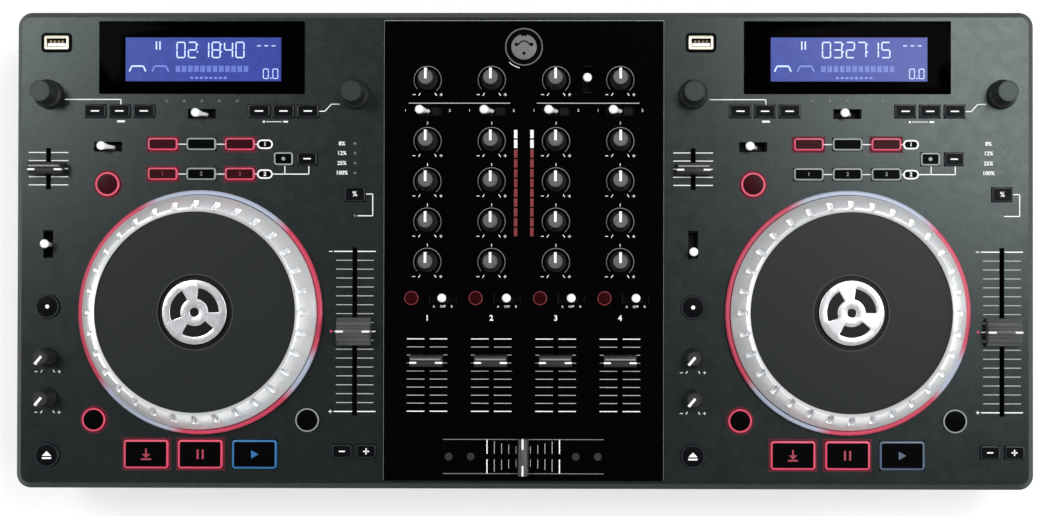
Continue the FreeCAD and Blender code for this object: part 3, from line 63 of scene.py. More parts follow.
# Places on the mixer, in millimetres from the middle of the console.
COLUMNS = (-60.5, -20.2, 20.2, 60.5)
MASTER_ROW = 106.9
TONE_ROWS = {"gain": 68.5, "treble": 43.2, "middle": 17.9, "bass": -7.4}
MIC_ROW = 127.6
INPUT_ROW = 87.7
LISTEN_ROW = -30.1
LISTEN_OFFSET = 9.8
CHANNEL_ROW = -69.4
CROSS_ROW = -129.3
CROSS_EDGES = (-118.6, -140.0)

# Places and sizes on a deck, in millimetres from the middle of that deck.
DECKS = (("left", -203.0), ("right", 203.0))
SIDE = 96.7
ENCODER_ROW = 98
TIME_ROWS = (-67.5, -93.1)
JOG_ROW = -39.2
WINDOW, WINDOW_ROW = (129.7, 45.8), 121.2
SCREEN, SCREEN_X, SCREEN_ROW = (98.3, 27.7), 1.0, 120.0
MENU_ROW = 87.4
LOOP_KEY, LOOP_STEP, LOOP_ROWS = (18.5, 7.8), 24.3, (66.6, 47.8)
MODE_ROW = 57.4
PILL_X = 39.9
EFFECT_ROW = 51.1
PITCH_X, PITCH_ROW = 96.8, -51.1
BEND_ROW = -126.4
TRANSPORT_KEY, TRANSPORT_STEP, TRANSPORT_ROW = (28, 18), 34.1, -128.4
# Round keys: x, y, radius, ring width, edge and face finish.
RECORD_KEY = (-59.1, 41.3, 7.7, 1.3, "red_light", "key_red")
REVERSE_KEY = (-SIDE, -35.8, 7.5, 0.9, "key_edge", "key_black")
BACK_KEY = (-67.2, -106.8, 7.5, 1.2, "red_light", "key_centre")
FORWARD_KEY = (67.2, -106.8, 7.5, 0.9, "grey_frame", "key_centre")
EJECT_KEY = (-SIDE, -129.2, 7.5, 0.9, "key_edge", "key_black")


def top_of(node):
    """Highest level of a frame node in millimetres."""
    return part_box(node)[1].z / MM


# ---------------------------------------------------------------- sizes and colours

def length(name, description, value):
    return bpy.props.FloatProperty(
        name=name, description=description, default=value * MM, min=0.0, unit="LENGTH", precision=5)


def colour(name, description, value):
    return bpy.props.FloatVectorProperty(
        name=name, description=description, default=value, size=3, min=0.0, max=1.0, subtype="COLOR")


class ConsoleSizes(bpy.types.PropertyGroup):
    """Sizes of the dressed pieces."""
    mixer_skirt: length("Mixer knob skirt", "Radius at the foot of a mixer knob", 7.4)
    mixer_crown: length("Mixer knob crown", "Radius at the top of a mixer knob", 5.2)
    encoder_skirt: length("Encoder skirt", "Radius at the foot of an encoder knob", 10.3)
    encoder_crown: length("Encoder crown", "Radius at the top of an encoder knob", 7.4)
    time_skirt: length("Time knob skirt", "Radius at the foot of a time knob", 7.0)
    time_crown: length("Time knob crown", "Radius at the top of a time knob", 5.0)
    pointer_width: length("Pointer width", "Width of the line on a knob", 1.6)
    transport_frame: length("Transport frame", "Width of the lit frame of a transport key", 1.3)
    key_frame: length("Key frame", "Width of the lit frame of a small key", 1.1)
    dial_radius: length("Dial radius", "Printed arc round a mixer knob", 8.6)
    digit_height: length("Digit height", "Height of the large figures on a display", 11.2)
    hub_radius: length("Hub radius", "Radius of the bright hub on a jog disc", 20.0)
    ring_rim: length("Ring rim", "Outer radius of a jog ring's flat rim", 65.3)
    ring_foot: length("Ring foot", "Outer radius of a jog ring", 73.4)
    notch_width: length("Notch width", "Width of a thumb notch in a jog ring", 3.7)
    lever_head: length("Lever head", "Radius of a lever's head", 2.75)


class ConsoleColours(bpy.types.PropertyGroup):
    """Colours of the dressed pieces, in linear light."""
    panel: colour("Deck panel", "Satin paint of the decks", (0.0040, 0.0049, 0.0050))
    tray: colour("Tray", "Paint of the lower case", (0.012, 0.013, 0.013))
    mixer: colour("Mixer panel", "Gloss panel of the mixer", (0.0008, 0.0008, 0.0010))
    rubber: colour("Knob rubber", "Body of a knob", (0.011, 0.012, 0.013))
    knob_disc: colour("Knob disc", "Top of a mixer knob", (0.070, 0.073, 0.074))
    silver: colour("Jog silver", "Bright metal of the jog rings", (0.80, 0.815, 0.83))
    red_light: colour("Red light", "Lit red frames and rings", (0.41, 0.034, 0.072))
    blue_light: colour("Blue light", "Lit play key", (0.009, 0.085, 0.22))
    grey_light: colour("Grey frame", "Unlit frames", (0.21, 0.23, 0.23))
    screen: colour("Screen", "Lit background of a display", (0.022, 0.037, 0.21))
    figures: colour("Figures", "Figures on a display", (0.42, 0.52, 0.80))
    print_white: colour("White print", "Printed marks", (0.80, 0.80, 0.80))
    print_grey: colour("Grey print", "Dim printed marks", (0.38, 0.38, 0.38))
    floor: colour("Floor", "Pale floor under the console", (0.95, 0.95, 0.95))


def size(name):
    return getattr(bpy.context.scene.console_sizes, name) / MM


def shade(name):
    return tuple(getattr(bpy.context.scene.console_colours, name))


# ---------------------------------------------------------------- selecting and placing

def clear():
    """Leaves edit mode and selects nothing."""
    active = bpy.context.view_layer.objects.active
    if active and active.mode != "OBJECT":
        bpy.ops.object.mode_set(mode="OBJECT")
    bpy.ops.object.select_all(action="DESELECT")


def only(piece):
    clear()
    piece.select_set(True)
    bpy.context.view_layer.objects.active = piece
    return piece


def named(piece, name):
    piece.name = name
    piece.data.name = name
    return piece


def settle(name):
    """Puts the new object's place into its mesh."""
    bpy.ops.object.transform_apply(location=True, rotation=True, scale=True)
    return named(bpy.context.object, name)


def moved(piece, matrix):
    piece.data.transform(matrix)
    piece.data.update()
    return piece


def shifted(piece, x=0.0, y=0.0, z=0.0):
    return moved(piece, Matrix.Translation(Vector((x, y, z)) * MM))


def spun(piece, degrees, x, y, z=0.0, axis="Z"):
    """Turns a piece about a line through a point."""
    centre = Matrix.Translation(Vector((x, y, z)) * MM)
    return moved(piece, centre @ Matrix.Rotation(math.radians(degrees), 4, axis) @ centre.inverted())


def copied(piece, name, x=0.0, y=0.0, z=0.0):
    """A copy with a mesh of its own, shifted in millimetres."""
    twin = piece.copy()
    twin.data = piece.data.copy()
    bpy.context.collection.objects.link(twin)
    return shifted(named(twin, name), x, y, z)


def removed(piece):
    bpy.data.objects.remove(piece, do_unlink=True)


def joined(name, pieces):
    clear()
    for piece in pieces:
        piece.select_set(True)
    bpy.context.view_layer.objects.active = pieces[0]
    if len(pieces) > 1:
        bpy.ops.object.join()
    return named(pieces[0], name)


def edit(piece=None):
    """Enters edit mode, on the piece in hand if none is given."""
    if piece:
        only(piece)
    bpy.ops.object.mode_set(mode="EDIT")


def leave():
    bpy.ops.object.mode_set(mode="OBJECT")


def pick(piece, test):
    """Enters edit mode with the faces chosen whose middle (mm) and normal pass the test."""
    edit(piece)
    bpy.ops.mesh.select_mode(type="FACE")
    bpy.ops.mesh.select_all(action="DESELECT")
    leave()
    for face in piece.data.polygons:
        face.select = bool(test(face.center / MM, face.normal))
    edit()


def pick_top(piece):
    high = max(vertex.co.z for vertex in piece.data.vertices) / MM
    pick(piece, lambda middle, normal: normal.z > 0.9 and middle.z > high - 0.01)


def pulled(x, y, z):
    """Extrudes what is chosen, in millimetres."""
    bpy.ops.mesh.extrude_region_move(TRANSFORM_OT_translate={"value": (x * MM, y * MM, z * MM)})


def step(inset, rise=0):
    """Insets the chosen faces, then raises or sinks them."""
    bpy.ops.mesh.inset(thickness=inset * MM, depth=0.0)
    if rise:
        pulled(0, 0, rise)


def outward():
    """Merges the corners that meet, turns every face outwards and leaves edit mode."""
    bpy.ops.mesh.select_all(action="SELECT")
    bpy.ops.mesh.remove_doubles(threshold=0.001 * MM)
    bpy.ops.mesh.normals_make_consistent(inside=False)
    leave()


def smooth(piece, degrees=35.0):
    only(piece)
    bpy.ops.object.shade_smooth_by_angle(angle=math.radians(degrees))
    return piece


def bevelled(piece, width, segments, limit):
    bevel = only(piece).modifiers.new("bevel", "BEVEL")
    bevel.width = width * MM
    bevel.segments = segments
    bevel.limit_method = limit
    bevel.angle_limit = math.radians(35)
    bpy.ops.object.modifier_apply(modifier=bevel.name)
    return piece


def softened(piece, width, segments=2):
    return smooth(bevelled(piece, width, segments, "ANGLE"), 38)


def block(name, width, depth, low, high, x=0.0, y=0.0):
    clear()
    bpy.ops.mesh.primitive_cube_add(size=1.0, location=(x * MM, y * MM, (low + high) / 2 * MM))
    bpy.context.object.scale = (width * MM, depth * MM, (high - low) * MM)
    return settle(name)


def rounded_block(name, width, depth, low, high, corner):
    """A block at the origin with its upright edges rounded."""
    piece = block(name, width, depth, low, high)
    weights = piece.data.attributes.new("bevel_weight_edge", "FLOAT", "EDGE")
    for edge in piece.data.edges:
        start, end = [piece.data.vertices[number].co for number in edge.vertices]
        weights.data[edge.index].value = 1.0 if (start - end).xy.length < 0.001 * MM else 0.0
    bevelled(piece, corner, 4, "WEIGHT")
    piece.data.attributes.remove(piece.data.attributes["bevel_weight_edge"])
    return piece


def turned(name, outline, sides=48, closed=False):
    """A round piece at the origin: a circle carried through an outline of (radius, level) pairs."""
    clear()
    radius, level = outline[0]
    bpy.ops.mesh.primitive_circle_add(
        vertices=sides, radius=radius * MM, fill_type="NOTHING", location=(0, 0, level * MM))
    piece = settle(name)
    edit()
    bpy.ops.mesh.select_mode(type="EDGE")
    bpy.ops.mesh.select_all(action="SELECT")
    for wide, high in outline[1:]:
        bpy.ops.mesh.extrude_edges_move(TRANSFORM_OT_translate={"value": (0, 0, (high - level) * MM)})
        bpy.ops.transform.resize(value=(wide / radius, wide / radius, 1.0), center_override=(0, 0, high * MM))
        radius, level = wide, high
    bpy.ops.mesh.select_all(action="SELECT")
    bpy.ops.mesh.remove_doubles(threshold=0.002 * MM)
    if not closed:
        bpy.ops.mesh.select_all(action="SELECT")
        bpy.ops.mesh.fill_holes(sides=0)
    outward()
    return piece


def slab(name, corners, pull):
    """A filled outline of (x, y, level) corners, thickened by pull, all in millimetres."""
    clear()
    bpy.ops.mesh.primitive_circle_add(vertices=len(corners), radius=MM, fill_type="NGON")
    piece = settle(name)
    for vertex, corner in zip(piece.data.vertices, corners):
        vertex.co = Vector(corner) * MM
    edit()
    bpy.ops.mesh.select_all(action="SELECT")
    pulled(*pull)
    outward()
    return piece


def fixed(piece, body, slot, *nodes):
    """Carries a finished piece on a body and hides the nodes that it stands for; the slot, which names its finish, is
    not used.
    """
    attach(piece, body)
    if nodes:
        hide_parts(*nodes)
    return piece


def stand_in(model, node, slot, x, y):
    """Sets a copy of the model in the place of a node."""
    return fixed(copied(model, node + "_dressed", x, y), node, slot, node)


# ---------------------------------------------------------------- finishes

COOL = (0.84, 1.0, 0.98)
# Each finish: material, colour or the name of a panel colour, roughness, scale of the grain, spread of the colour
# in it, bump, and what differs from a plain finish.
FINISHES = {
    "panel": ("panel_paint", "panel", 0.27, 1400, 0.1, 0.004, {"specular": 0.4, "tint": COOL}),
    "tray": ("tray_paint", "tray", 0.5, 1200, 0.15, 0.1, {}),
    "mixer": ("mixer_gloss", "mixer", 0.12, 300, 0.1, 0, {"specular": 0.02}),
    "window": ("window_black", (0.0003, 0.0003, 0.0004), 0.14, 300, 0.1, 0, {"specular": 0.004}),
    "rubber": ("knob_rubber", "rubber", 0.5, 1100, 0.18, 0.12, {"specular": 0.3}),
    "cap": ("fader_cap_grey", (0.042, 0.044, 0.046), 0.45, 1100, 0.12, 0.08, {}),
    "knob_disc": ("knob_disc", "knob_disc", 0.38, 1500, 0.15, 0.05, {}),
    "encoder_top": ("encoder_top", (0.019, 0.022, 0.022), 0.34, 1400, 0.12, 0.05, {"specular": 0.25, "tint": COOL}),
    "black": ("plastic_black", (0.0022, 0.0022, 0.0025), 0.45, 900, 0.2, 0.05, {"specular": 0.1}),
    "feet": ("foot_rubber", (0.012, 0.012, 0.012), 0.75, 700, 0.2, 0.2, {}),
    "key_centre": ("key_centre", (0.0012, 0.0013, 0.0015), 0.3, 900, 0.2, 0.03, {"specular": 0.015}),
    "key_red": ("key_centre_red", (0.026, 0.0018, 0.0042), 0.3, 900, 0.2, 0.03, {"specular": 0.05}),
    "key_black": ("key_black", (0.0024, 0.0027, 0.0036), 0.34, 900, 0.2, 0.04, {"specular": 0.04}),
    "key_edge": ("key_edge", (0.01, 0.012, 0.017), 0.35, 900, 0.15, 0.03, {"specular": 0.3}),
    "steel": ("bright_steel", (0.6, 0.6, 0.61), 0.3, 700, 0.08, 0.04, {"metal": 1}),
    "shell": ("socket_shell", (0.8, 0.76, 0.62), 0.3, 700, 0.06, 0.03, {"metal": 0.35}),
    "contact": ("socket_contact", (0.16, 0.12, 0.07), 0.35, 700, 0.25, 0.03, {"metal": 0.5}),
    "screw": ("dark_screw", (0.007, 0.007, 0.0075), 0.4, 900, 0.12, 0.05, {"metal": 0.05}),
    "board": ("circuit_board", (0.02, 0.09, 0.04), 0.5, 500, 0.25, 0.05, {}),
    "silver": ("jog_silver", "silver", 0.32, 900, 0.03, 0.03, {"metal": 0.45}),
    "hub": ("hub_chrome", (0.66, 0.67, 0.69), 0.26, 500, 0.12, 0.02, {"metal": 0.75}),
    "socket_grey": ("socket_grey", (0.12, 0.123, 0.125), 0.5, 900, 0.12, 0.05, {"specular": 0.3}),
    # Light grey of the painted highlights on the plate edges and on the fader cap ridges.
    "edge": ("plate_edge", (0.2, 0.205, 0.21), 0.35, 600, 0.2, 0.02, {"metal": 0.2}),
    "white": ("white_print", "print_white", 0.55, 1500, 0.05, 0.02, {}),
    "grey": ("grey_print", "print_grey", 0.55, 1500, 0.08, 0.02, {}),
    # Dim grey of the dial print, also used for a painted highlight along the cross plate edges.
    "dial": ("dial_print", (0.15, 0.15, 0.15), 0.55, 1500, 0.08, 0.02, {}),
    "red_light": ("red_light", "red_light", 0.35, 600, 0.1, 0.01, {"glow": 0.42}),
    "red_sign": ("red_sign", (0.22, 0.018, 0.036), 0.4, 600, 0.1, 0.01, {"glow": 0.3}),
    "listen_red": ("listen_red", (0.02, 0.0012, 0.0018), 0.35, 600, 0.15, 0.01, {"specular": 0.02, "glow": 0.1}),
    "listen_ring": ("listen_ring", (0.17, 0.02, 0.026), 0.35, 600, 0.15, 0.01, {"glow": 0.2}),
    # Red paint that glows on the panel round the lit keys: painted light spill, not a lamp.
    "red_halo": ("red_halo", (0.05, 0.0035, 0.009), 0.5, 600, 0.15, 0.01, {"specular": 0.2, "glow": 0.6}),
    "blue_light": ("blue_light", "blue_light", 0.35, 600, 0.12, 0.01, {"glow": 0.42}),
    "dim_blue": ("dim_blue", (0.045, 0.075, 0.12), 0.35, 600, 0.12, 0.01, {"glow": 0.2}),
    "grey_frame": ("grey_frame", "grey_light", 0.35, 600, 0.12, 0.01, {}),
    "lamp_off": ("lamp_off", (0.075, 0.085, 0.085), 0.3, 600, 0.15, 0.01, {}),
    "meter_red": ("meter_red", (0.125, 0.0075, 0.0125), 0.35, 500, 0.15, 0.01, {"glow": 0.45}),
    "meter_white": ("meter_white", (0.78, 0.78, 0.77), 0.35, 500, 0.03, 0.01, {"glow": 0.2}),
    "screen": ("screen_blue", "screen", 0.25, 160, 0.1, 0, {"specular": 0.2, "glow": 0.35}),
    "figures": ("display_figures", "figures", 0.4, 900, 0.04, 0, {"glow": 0.3}),
    "faint": ("display_faint", (0.11, 0.16, 0.5), 0.4, 900, 0.06, 0, {"glow": 0.25}),
}


def feed(tree, made, inputs):
    """Gives a node's inputs plain values, or links them to the outputs of other nodes."""
    for slot, value in inputs.items():
        if isinstance(value, bpy.types.NodeSocket):
            tree.links.new(value, made.inputs[slot])
        else:
            made.inputs[slot].default_value = value


def add_node(tree, kind, inputs, operation=None):
    made = tree.nodes.new("ShaderNode" + kind)
    if operation:
        made.operation = operation
    feed(tree, made, inputs)
    return made


def blank(name):
    """A new material, its node tree and its shader."""
    made = bpy.data.materials.new(name)
    made.use_nodes = True
    return made, made.node_tree, made.node_tree.nodes["Principled BSDF"]


def graded(tree, factor, stops, kind="LINEAR"):
    """A colour that follows a factor through stops of (place, colour)."""
    made = add_node(tree, "ValToRGB", {"Fac": factor})
    ramp = made.color_ramp
    ramp.interpolation = kind
    while len(ramp.elements) < len(stops):
        ramp.elements.new(0.5)
    for element, (place, tone) in zip(ramp.elements, stops):
        element.position = place
        element.color = tuple(tone) + (1,)
    return made.outputs["Color"]


def worn(tree, shader, place, scale, low, high):
    """Lets the roughness wander between two values, and returns the noise that does it."""
    cloud = add_node(tree, "TexNoise", {"Scale": scale, "Vector": place}).outputs["Fac"]
    gloss = add_node(tree, "MapRange", {"To Min": low, "To Max": high, "Value": cloud})
    feed(tree, shader, {"Roughness": gloss.outputs["Result"]})
    return cloud


def bumped(tree, shader, cloud, strength):
    relief = add_node(tree, "Bump", {"Strength": strength, "Distance": 0.1 * MM, "Height": cloud})
    feed(tree, shader, {"Normal": relief.outputs["Normal"]})


def finish(key):
    """One of the console's finishes, with grain in its colour, gloss and surface."""
    name, tone, rough, grain, spread, bump, rest = FINISHES[key]
    if name in bpy.data.materials:
        return bpy.data.materials[name]
    made, tree, shader = blank(name)
    tone = shade(tone) if isinstance(tone, str) else tone
    place = add_node(tree, "TexCoord", {}).outputs["Object"]
    cloud = add_node(tree, "TexNoise", {"Scale": grain, "Detail": 4.0, "Vector": place}).outputs["Fac"]
    dark, light = [c * (1 - spread) for c in tone], [min(1.0, c * (1 + spread)) for c in tone]
    tones = graded(tree, cloud, ((0.3, dark), (0.7, light)))
    worn(tree, shader, place, grain / 9, max(0.02, rough - 0.06), min(1.0, rough + 0.06))
    if bump:
        bumped(tree, shader, cloud, bump)
    feed(tree, shader, {
        "Base Color": tones, "Metallic": rest.get("metal", 0.0), "Specular IOR Level": rest.get("specular", 0.5),
        "Specular Tint": rest.get("tint", (1.0, 1.0, 1.0)) + (1,)})
    if "glow" in rest:
        feed(tree, shader, {"Emission Color": tones, "Emission Strength": rest["glow"]})
    return made


def about_jog(tree):
    """Object place, and its offset in x and y from the middle of the nearer jog wheel."""
    place = add_node(tree, "TexCoord", {}).outputs["Object"]
    split = add_node(tree, "SeparateXYZ", {"Vector": place})
    sign = add_node(tree, "Math", {0: split.outputs["X"]}, "SIGN")
    across = add_node(tree, "Math", {0: sign.outputs[0], 1: -DECKS[1][1] * MM, 2: split.outputs["X"]}, "MULTIPLY_ADD")
    along = add_node(tree, "Math", {0: split.outputs["Y"], 1: JOG_ROW * MM}, "SUBTRACT")
    return place, across.outputs[0], along.outputs[0]


def disc_finish():
    """Black under the hub, a paler line round it and dark grey outside that."""
    rough, reach = 0.36, 80
    made, tree, shader = blank("jog_disc_face")
    place, across, along = about_jog(tree)
    flat = add_node(tree, "CombineXYZ", {"X": across, "Y": along})
    radius = add_node(tree, "VectorMath", {0: flat.outputs[0]}, "LENGTH")
    scaled = add_node(tree, "MapRange", {"From Max": reach * MM, "Value": radius.outputs["Value"]})
    bands = ((0, (0.002, 0.002, 0.002)), (22.9, (0.040, 0.043, 0.045)), (23.5, (0.0105, 0.0125, 0.0130)))
    stops = [(start / reach, tone) for start, tone in bands]
    cloud = worn(tree, shader, place, 700, rough - 0.05, rough + 0.05)
    bumped(tree, shader, cloud, 0.03)
    feed(tree, shader, {
        "Base Color": graded(tree, scaled.outputs["Result"], stops, "CONSTANT"), "Specular IOR Level": 0.17})
    return made


def light_ring_finish():
    """Lit red in three stretches round the jog wheel and pale silver in between."""
    made, tree, shader = blank("light_ring")
    place, across, along = about_jog(tree)
    angle = add_node(tree, "Math", {0: along, 1: across}, "ARCTAN2")
    turn = add_node(tree, "MapRange", {"From Min": -math.pi, "From Max": math.pi, "Value": angle.outputs[0]})
    red, pale = shade("red_light"), (0.30, 0.34, 0.43)
    places = ((-180, red), (-147, red), (-139, pale), (-106, pale), (-98, red), (-46, red), (-38, pale), (-24, pale),
              (-16, red), (42, red), (52, pale), (110, pale), (120, red), (180, red))
    tones = graded(tree, turn.outputs["Result"], [((degrees + 180) / 360, tone) for degrees, tone in places])
    feed(tree, shader, {"Base Color": tones, "Emission Color": tones, "Emission Strength": 0.12})
    worn(tree, shader, place, 500, 0.25, 0.4)
    return made


def coated(piece, *looks):
    """Gives a piece its finishes, each by its key or as a material."""
    piece.data.materials.clear()
    for look in looks:
        piece.data.materials.append(finish(look) if isinstance(look, str) else look)
    return piece


def paint_faces(piece, index, test):
    """Gives the faces whose middle (mm) and normal pass the test one of the piece's finishes."""
    for face in piece.data.polygons:
        if test(face.center / MM, face.normal):
            face.material_index = index


# ---------------------------------------------------------------- printed marks, and painted highlights and glow drawn alike

def unit_bar():
    """A bar one metre each way, standing on the origin, with a stepped top to carry a printed edge."""
    bar = block("bar", 1 / MM, 1 / MM, 0, 1 / MM)
    pick_top(bar)
    step(0.08 / MM)
    leave()
    return bar


def strokes(name, lines, level, look, thickness=PRINT_THICKNESS):
    """Thin flat lines (x0, y0, x1, y1, width) in millimetres, joined to one piece: print and signs, and in places
    painted highlights and painted glow.
    """
    bar = unit_bar()
    pieces = []
    for x0, y0, x1, y1, width in lines:
        run = math.hypot(x1 - x0, y1 - y0)
        twin = copied(bar, name)
        moved(twin, Matrix.Diagonal((run * MM, width * MM, thickness * MM, 1)))
        moved(twin, Matrix.Rotation(math.atan2(y1 - y0, x1 - x0), 4, "Z"))
        pieces.append(shifted(twin, (x0 + x1) / 2, (y0 + y1) / 2, level))
    removed(bar)
    return coated(joined(name, pieces), look)


def lettering(name, text, height, x, y, level, look, bold=0.0, thickness=0.05):
    clear()
    bpy.ops.object.text_add(location=(0, 0, 0))
    piece = bpy.context.object
    piece.data.body = text
    piece.data.align_x = "CENTER"
    piece.data.align_y = "CENTER"
    piece.data.size = height / 0.72 * MM
    piece.data.resolution_u = 3
    piece.data.extrude = thickness * MM
    piece.data.offset = bold * MM
    bpy.ops.object.convert(target="MESH")
    piece = settle(name)
    return coated(shifted(piece, x, y, level + thickness), look)


def icon(name, corners, level, look, thickness=0.1):
    """A small flat sign: one filled outline, thickened upwards."""
    return coated(slab(name, [(x, y, level) for x, y in corners], (0, 0, thickness)), look)


def arc(name, radius, width, start, end, x, y, level, look, thickness=PRINT_THICKNESS, steps=36):
    """A flat arc from one bearing to another, spun from a short bar: print, and in one place a painted glow round a
    round key.
    """
    piece = block(name, width, 0.02, level, level + thickness, x + radius, y)
    spun(piece, start, x, y)
    ahead = Vector((-math.sin(math.radians(start)), math.cos(math.radians(start)), 0))
    pick(piece, lambda middle, normal: normal.dot(ahead) > 0.9)
    bpy.ops.mesh.spin(
        steps=steps, angle=math.radians(start - end), center=(x * MM, y * MM, level * MM), axis=(0, 0, 1))
    outward()
    return coated(piece, look)


def round_dot(x, y, radius, level, look, rise=0.1):
    piece = turned("dot", [(radius, level - 0.1), (radius, level + rise * 0.6), (radius * 0.7, level + rise)], sides=20)
    return coated(smooth(shifted(piece, x, y)), look)


# ---------------------------------------------------------------- knobs

def knob(name, skirt, crown, foot, top, flutes, look, disc):
    """A fluted knob at the origin with a shallow disc on top."""
    sides = flutes * 6
    rise = top - foot
    piece = turned(name, [
        (skirt * 0.98, foot), (skirt, foot + 0.3), (skirt, foot + rise * 0.14), (skirt - 0.5, foot + rise * 0.2),
        (crown + 1.0, foot + rise * 0.26), (crown + 0.7, foot + rise * 0.5), (crown + 0.2, top - 1.3),
        (crown, top - 0.4), (crown - 0.3, top), (crown - 0.75, top), (crown - 0.95, top - 0.2), (crown * 0.4, top - 0.2),
    ], sides)
    edit(piece)
    bpy.ops.mesh.select_mode(type="VERT")
    leave()
    for vertex in piece.data.vertices:
        column = round(math.degrees(math.atan2(vertex.co.y, vertex.co.x)) * sides / 360) % 6
        vertex.select = foot + rise * 0.24 < vertex.co.z / MM < top - 1.2 and column in (0, 1)
    edit()
    bpy.ops.transform.resize(value=(0.88, 0.88, 1.0), center_override=(0, 0, 0))
    leave()
    coated(piece, look, disc)
    paint_faces(piece, 1, lambda middle, normal: middle.z > top - 0.3 and middle.xy.length < crown - 0.1)
    return smooth(piece)


def pointed(piece, crown, top):
    """A knob with a line from its middle to its edge and down its side."""
    name, past = piece.name, 1.0
    line = block(name + "_line", size("pointer_width"), crown + past, top - 0.3, top + 0.1, 0, (crown - past) / 2)
    pick_top(line)
    step(0.15, 0.05)
    leave()
    drop = block(name + "_drop", size("pointer_width"), 0.5, top - 5.5, top, 0, crown + 0.15)
    return joined(name, [piece, coated(line, "white"), coated(drop, "white")])


class CONSOLE_OT_mixer_knobs(bpy.types.Operator):
    """Fluted mixer knobs with white pointers, on their own spindles"""
    bl_idname = "console.mixer_knobs"
    bl_label = "Mixer knobs"

    def execute(self, context):
        top, crown = top_of("gain_knob_1"), size("mixer_crown")
        model = knob("mixer_knob", size("mixer_skirt"), crown, PLATE + 1, top, 10, "rubber", "knob_disc")
        model = pointed(model, crown, top)
        for master, x in zip(("cue_mix", "cue_gain", "booth", "master"), COLUMNS):
            stand_in(model, f"{master}_knob", "rubber", x, MASTER_ROW)
        for tone, row in TONE_ROWS.items():
            for number, x in enumerate(COLUMNS, start=1):
                stand_in(model, f"{tone}_knob_{number}", "rubber", x, row)
        removed(model)
        return {"FINISHED"}


class CONSOLE_OT_deck_knobs(bpy.types.Operator):
    """Encoder knobs and time knobs of both decks"""
    bl_idname = "console.deck_knobs"
    bl_label = "Deck knobs"

    def execute(self, context):
        top, crown = top_of("parameter_knob_left"), size("encoder_crown")
        model = knob("encoder", size("encoder_skirt"), crown, PANEL + 1, top, 16, "rubber", "encoder_top")
        for side, centre in DECKS:
            for role, x in (("parameter", -SIDE), ("track", SIDE)):
                stand_in(model, f"{role}_knob_{side}", "rubber", centre + x, ENCODER_ROW)
        removed(model)
        top, crown = top_of("stop_time_knob_left"), size("time_crown")
        model = knob("time_knob", size("time_skirt"), crown, PANEL + 1, top, 10, "rubber", "rubber")
        model = spun(pointed(model, crown, top), 140, 0, 0)
        for side, centre in DECKS:
            for role, row in zip(("stop", "start"), TIME_ROWS):
                stand_in(model, f"{role}_time_knob_{side}", "rubber", centre - SIDE, row)
        removed(model)
        return {"FINISHED"}


# ---------------------------------------------------------------- jog wheels

def jog_ring():
    """A sloping metal ring at the origin, with thumb notches sunk into its slope."""
    rim, foot, bore, seat, notches = size("ring_rim"), size("ring_foot"), 62.3, 63.7, 32
    low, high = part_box("jog_ring_left")[0].z / MM, top_of("jog_ring_left")
    ring = turned("jog_ring", [
        (bore, high - 3.0), (bore, high - 2.2), (bore + 0.2, high - 1.9), (rim - 0.7, high - 0.1), (rim - 0.4, high),
        (rim, high - 0.3), (foot - 0.6, 87.6), (foot, 86.4), (foot, low + 0.4), (foot - 0.4, low), (seat, low),
        (seat, high - 3.2), (bore, high - 3.0),
    ], sides=256, closed=True)
    notch = softened(block("notch", 10.4, size("notch_width"), high - 8.4, high + 2, 69.3), 1.2, segments=4)
    turns = [number * 360 / notches for number in range(notches)]
    cutter = joined("notches", [spun(copied(notch, "notch"), turn, 0, 0) for turn in turns])
    removed(notch)
    sunk = only(ring).modifiers.new("notches", "BOOLEAN")
    sunk.operation = "DIFFERENCE"
    sunk.object = cutter
    bpy.ops.object.modifier_apply(modifier=sunk.name)
    removed(cutter)
    return smooth(coated(ring, "silver"), 28)


class CONSOLE_OT_jogs(bpy.types.Operator):
    """Notched rings, disc and light ring finishes, and a three-window hub on each disc"""
    bl_idname = "console.jogs"
    bl_label = "Jog wheels"

    def execute(self, context):
        disc, ring = disc_finish(), jog_ring()
        for side, centre in DECKS:
            stand_in(ring, f"jog_ring_{side}", "jog_metal", centre, JOG_ROW)
            coated(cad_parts[f"jog_disc_{side}"], disc)
        removed(ring)
        coated(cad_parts["jog_light_rings"], light_ring_finish())
        inner, outer, opening = 8.6, 15.2, 82
        face = top_of("jog_disc_left") + 0.05
        hub = turned("hub", [(radius, face) for radius in (2.8, 6.2, inner, outer, size("hub_radius"))], sides=72)
        pick(hub, lambda middle, normal: middle.xy.length < 2.6 or (
            inner < middle.xy.length < outer and math.degrees(math.atan2(middle.y, middle.x)) % 120 < opening))
        bpy.ops.mesh.delete(type="FACE")
        bpy.ops.mesh.select_all(action="SELECT")
        pulled(0, 0, 0.6)
        outward()
        coated(softened(hub, 0.28, segments=3), "hub")
        for side, centre in DECKS:
            fixed(copied(hub, f"jog_hub_{side}", centre, JOG_ROW), f"jog_disc_{side}", "jog_metal")
        removed(hub)
        return {"FINISHED"}


# ---------------------------------------------------------------- keys

def key(name, width, depth, frame_width, top, edge, centre):
    """A key at the origin: a framed edge round a sunk face."""
    piece = softened(rounded_block(name, width, depth, PANEL - 1.0, top, frame_width + 0.6), 0.35)
    pick_top(piece)
    step(frame_width - 0.45)
    step(0.1, -KEY_SINK)
    leave()
    coated(piece, edge, centre)
    half_x, half_y = width / 2 - frame_width + 0.07, depth / 2 - frame_width + 0.07
    paint_faces(piece, 1, lambda middle, normal: (
        abs(middle.x) < half_x and abs(middle.y) < half_y and middle.z > top - 0.6))
    return smooth(piece, 30)


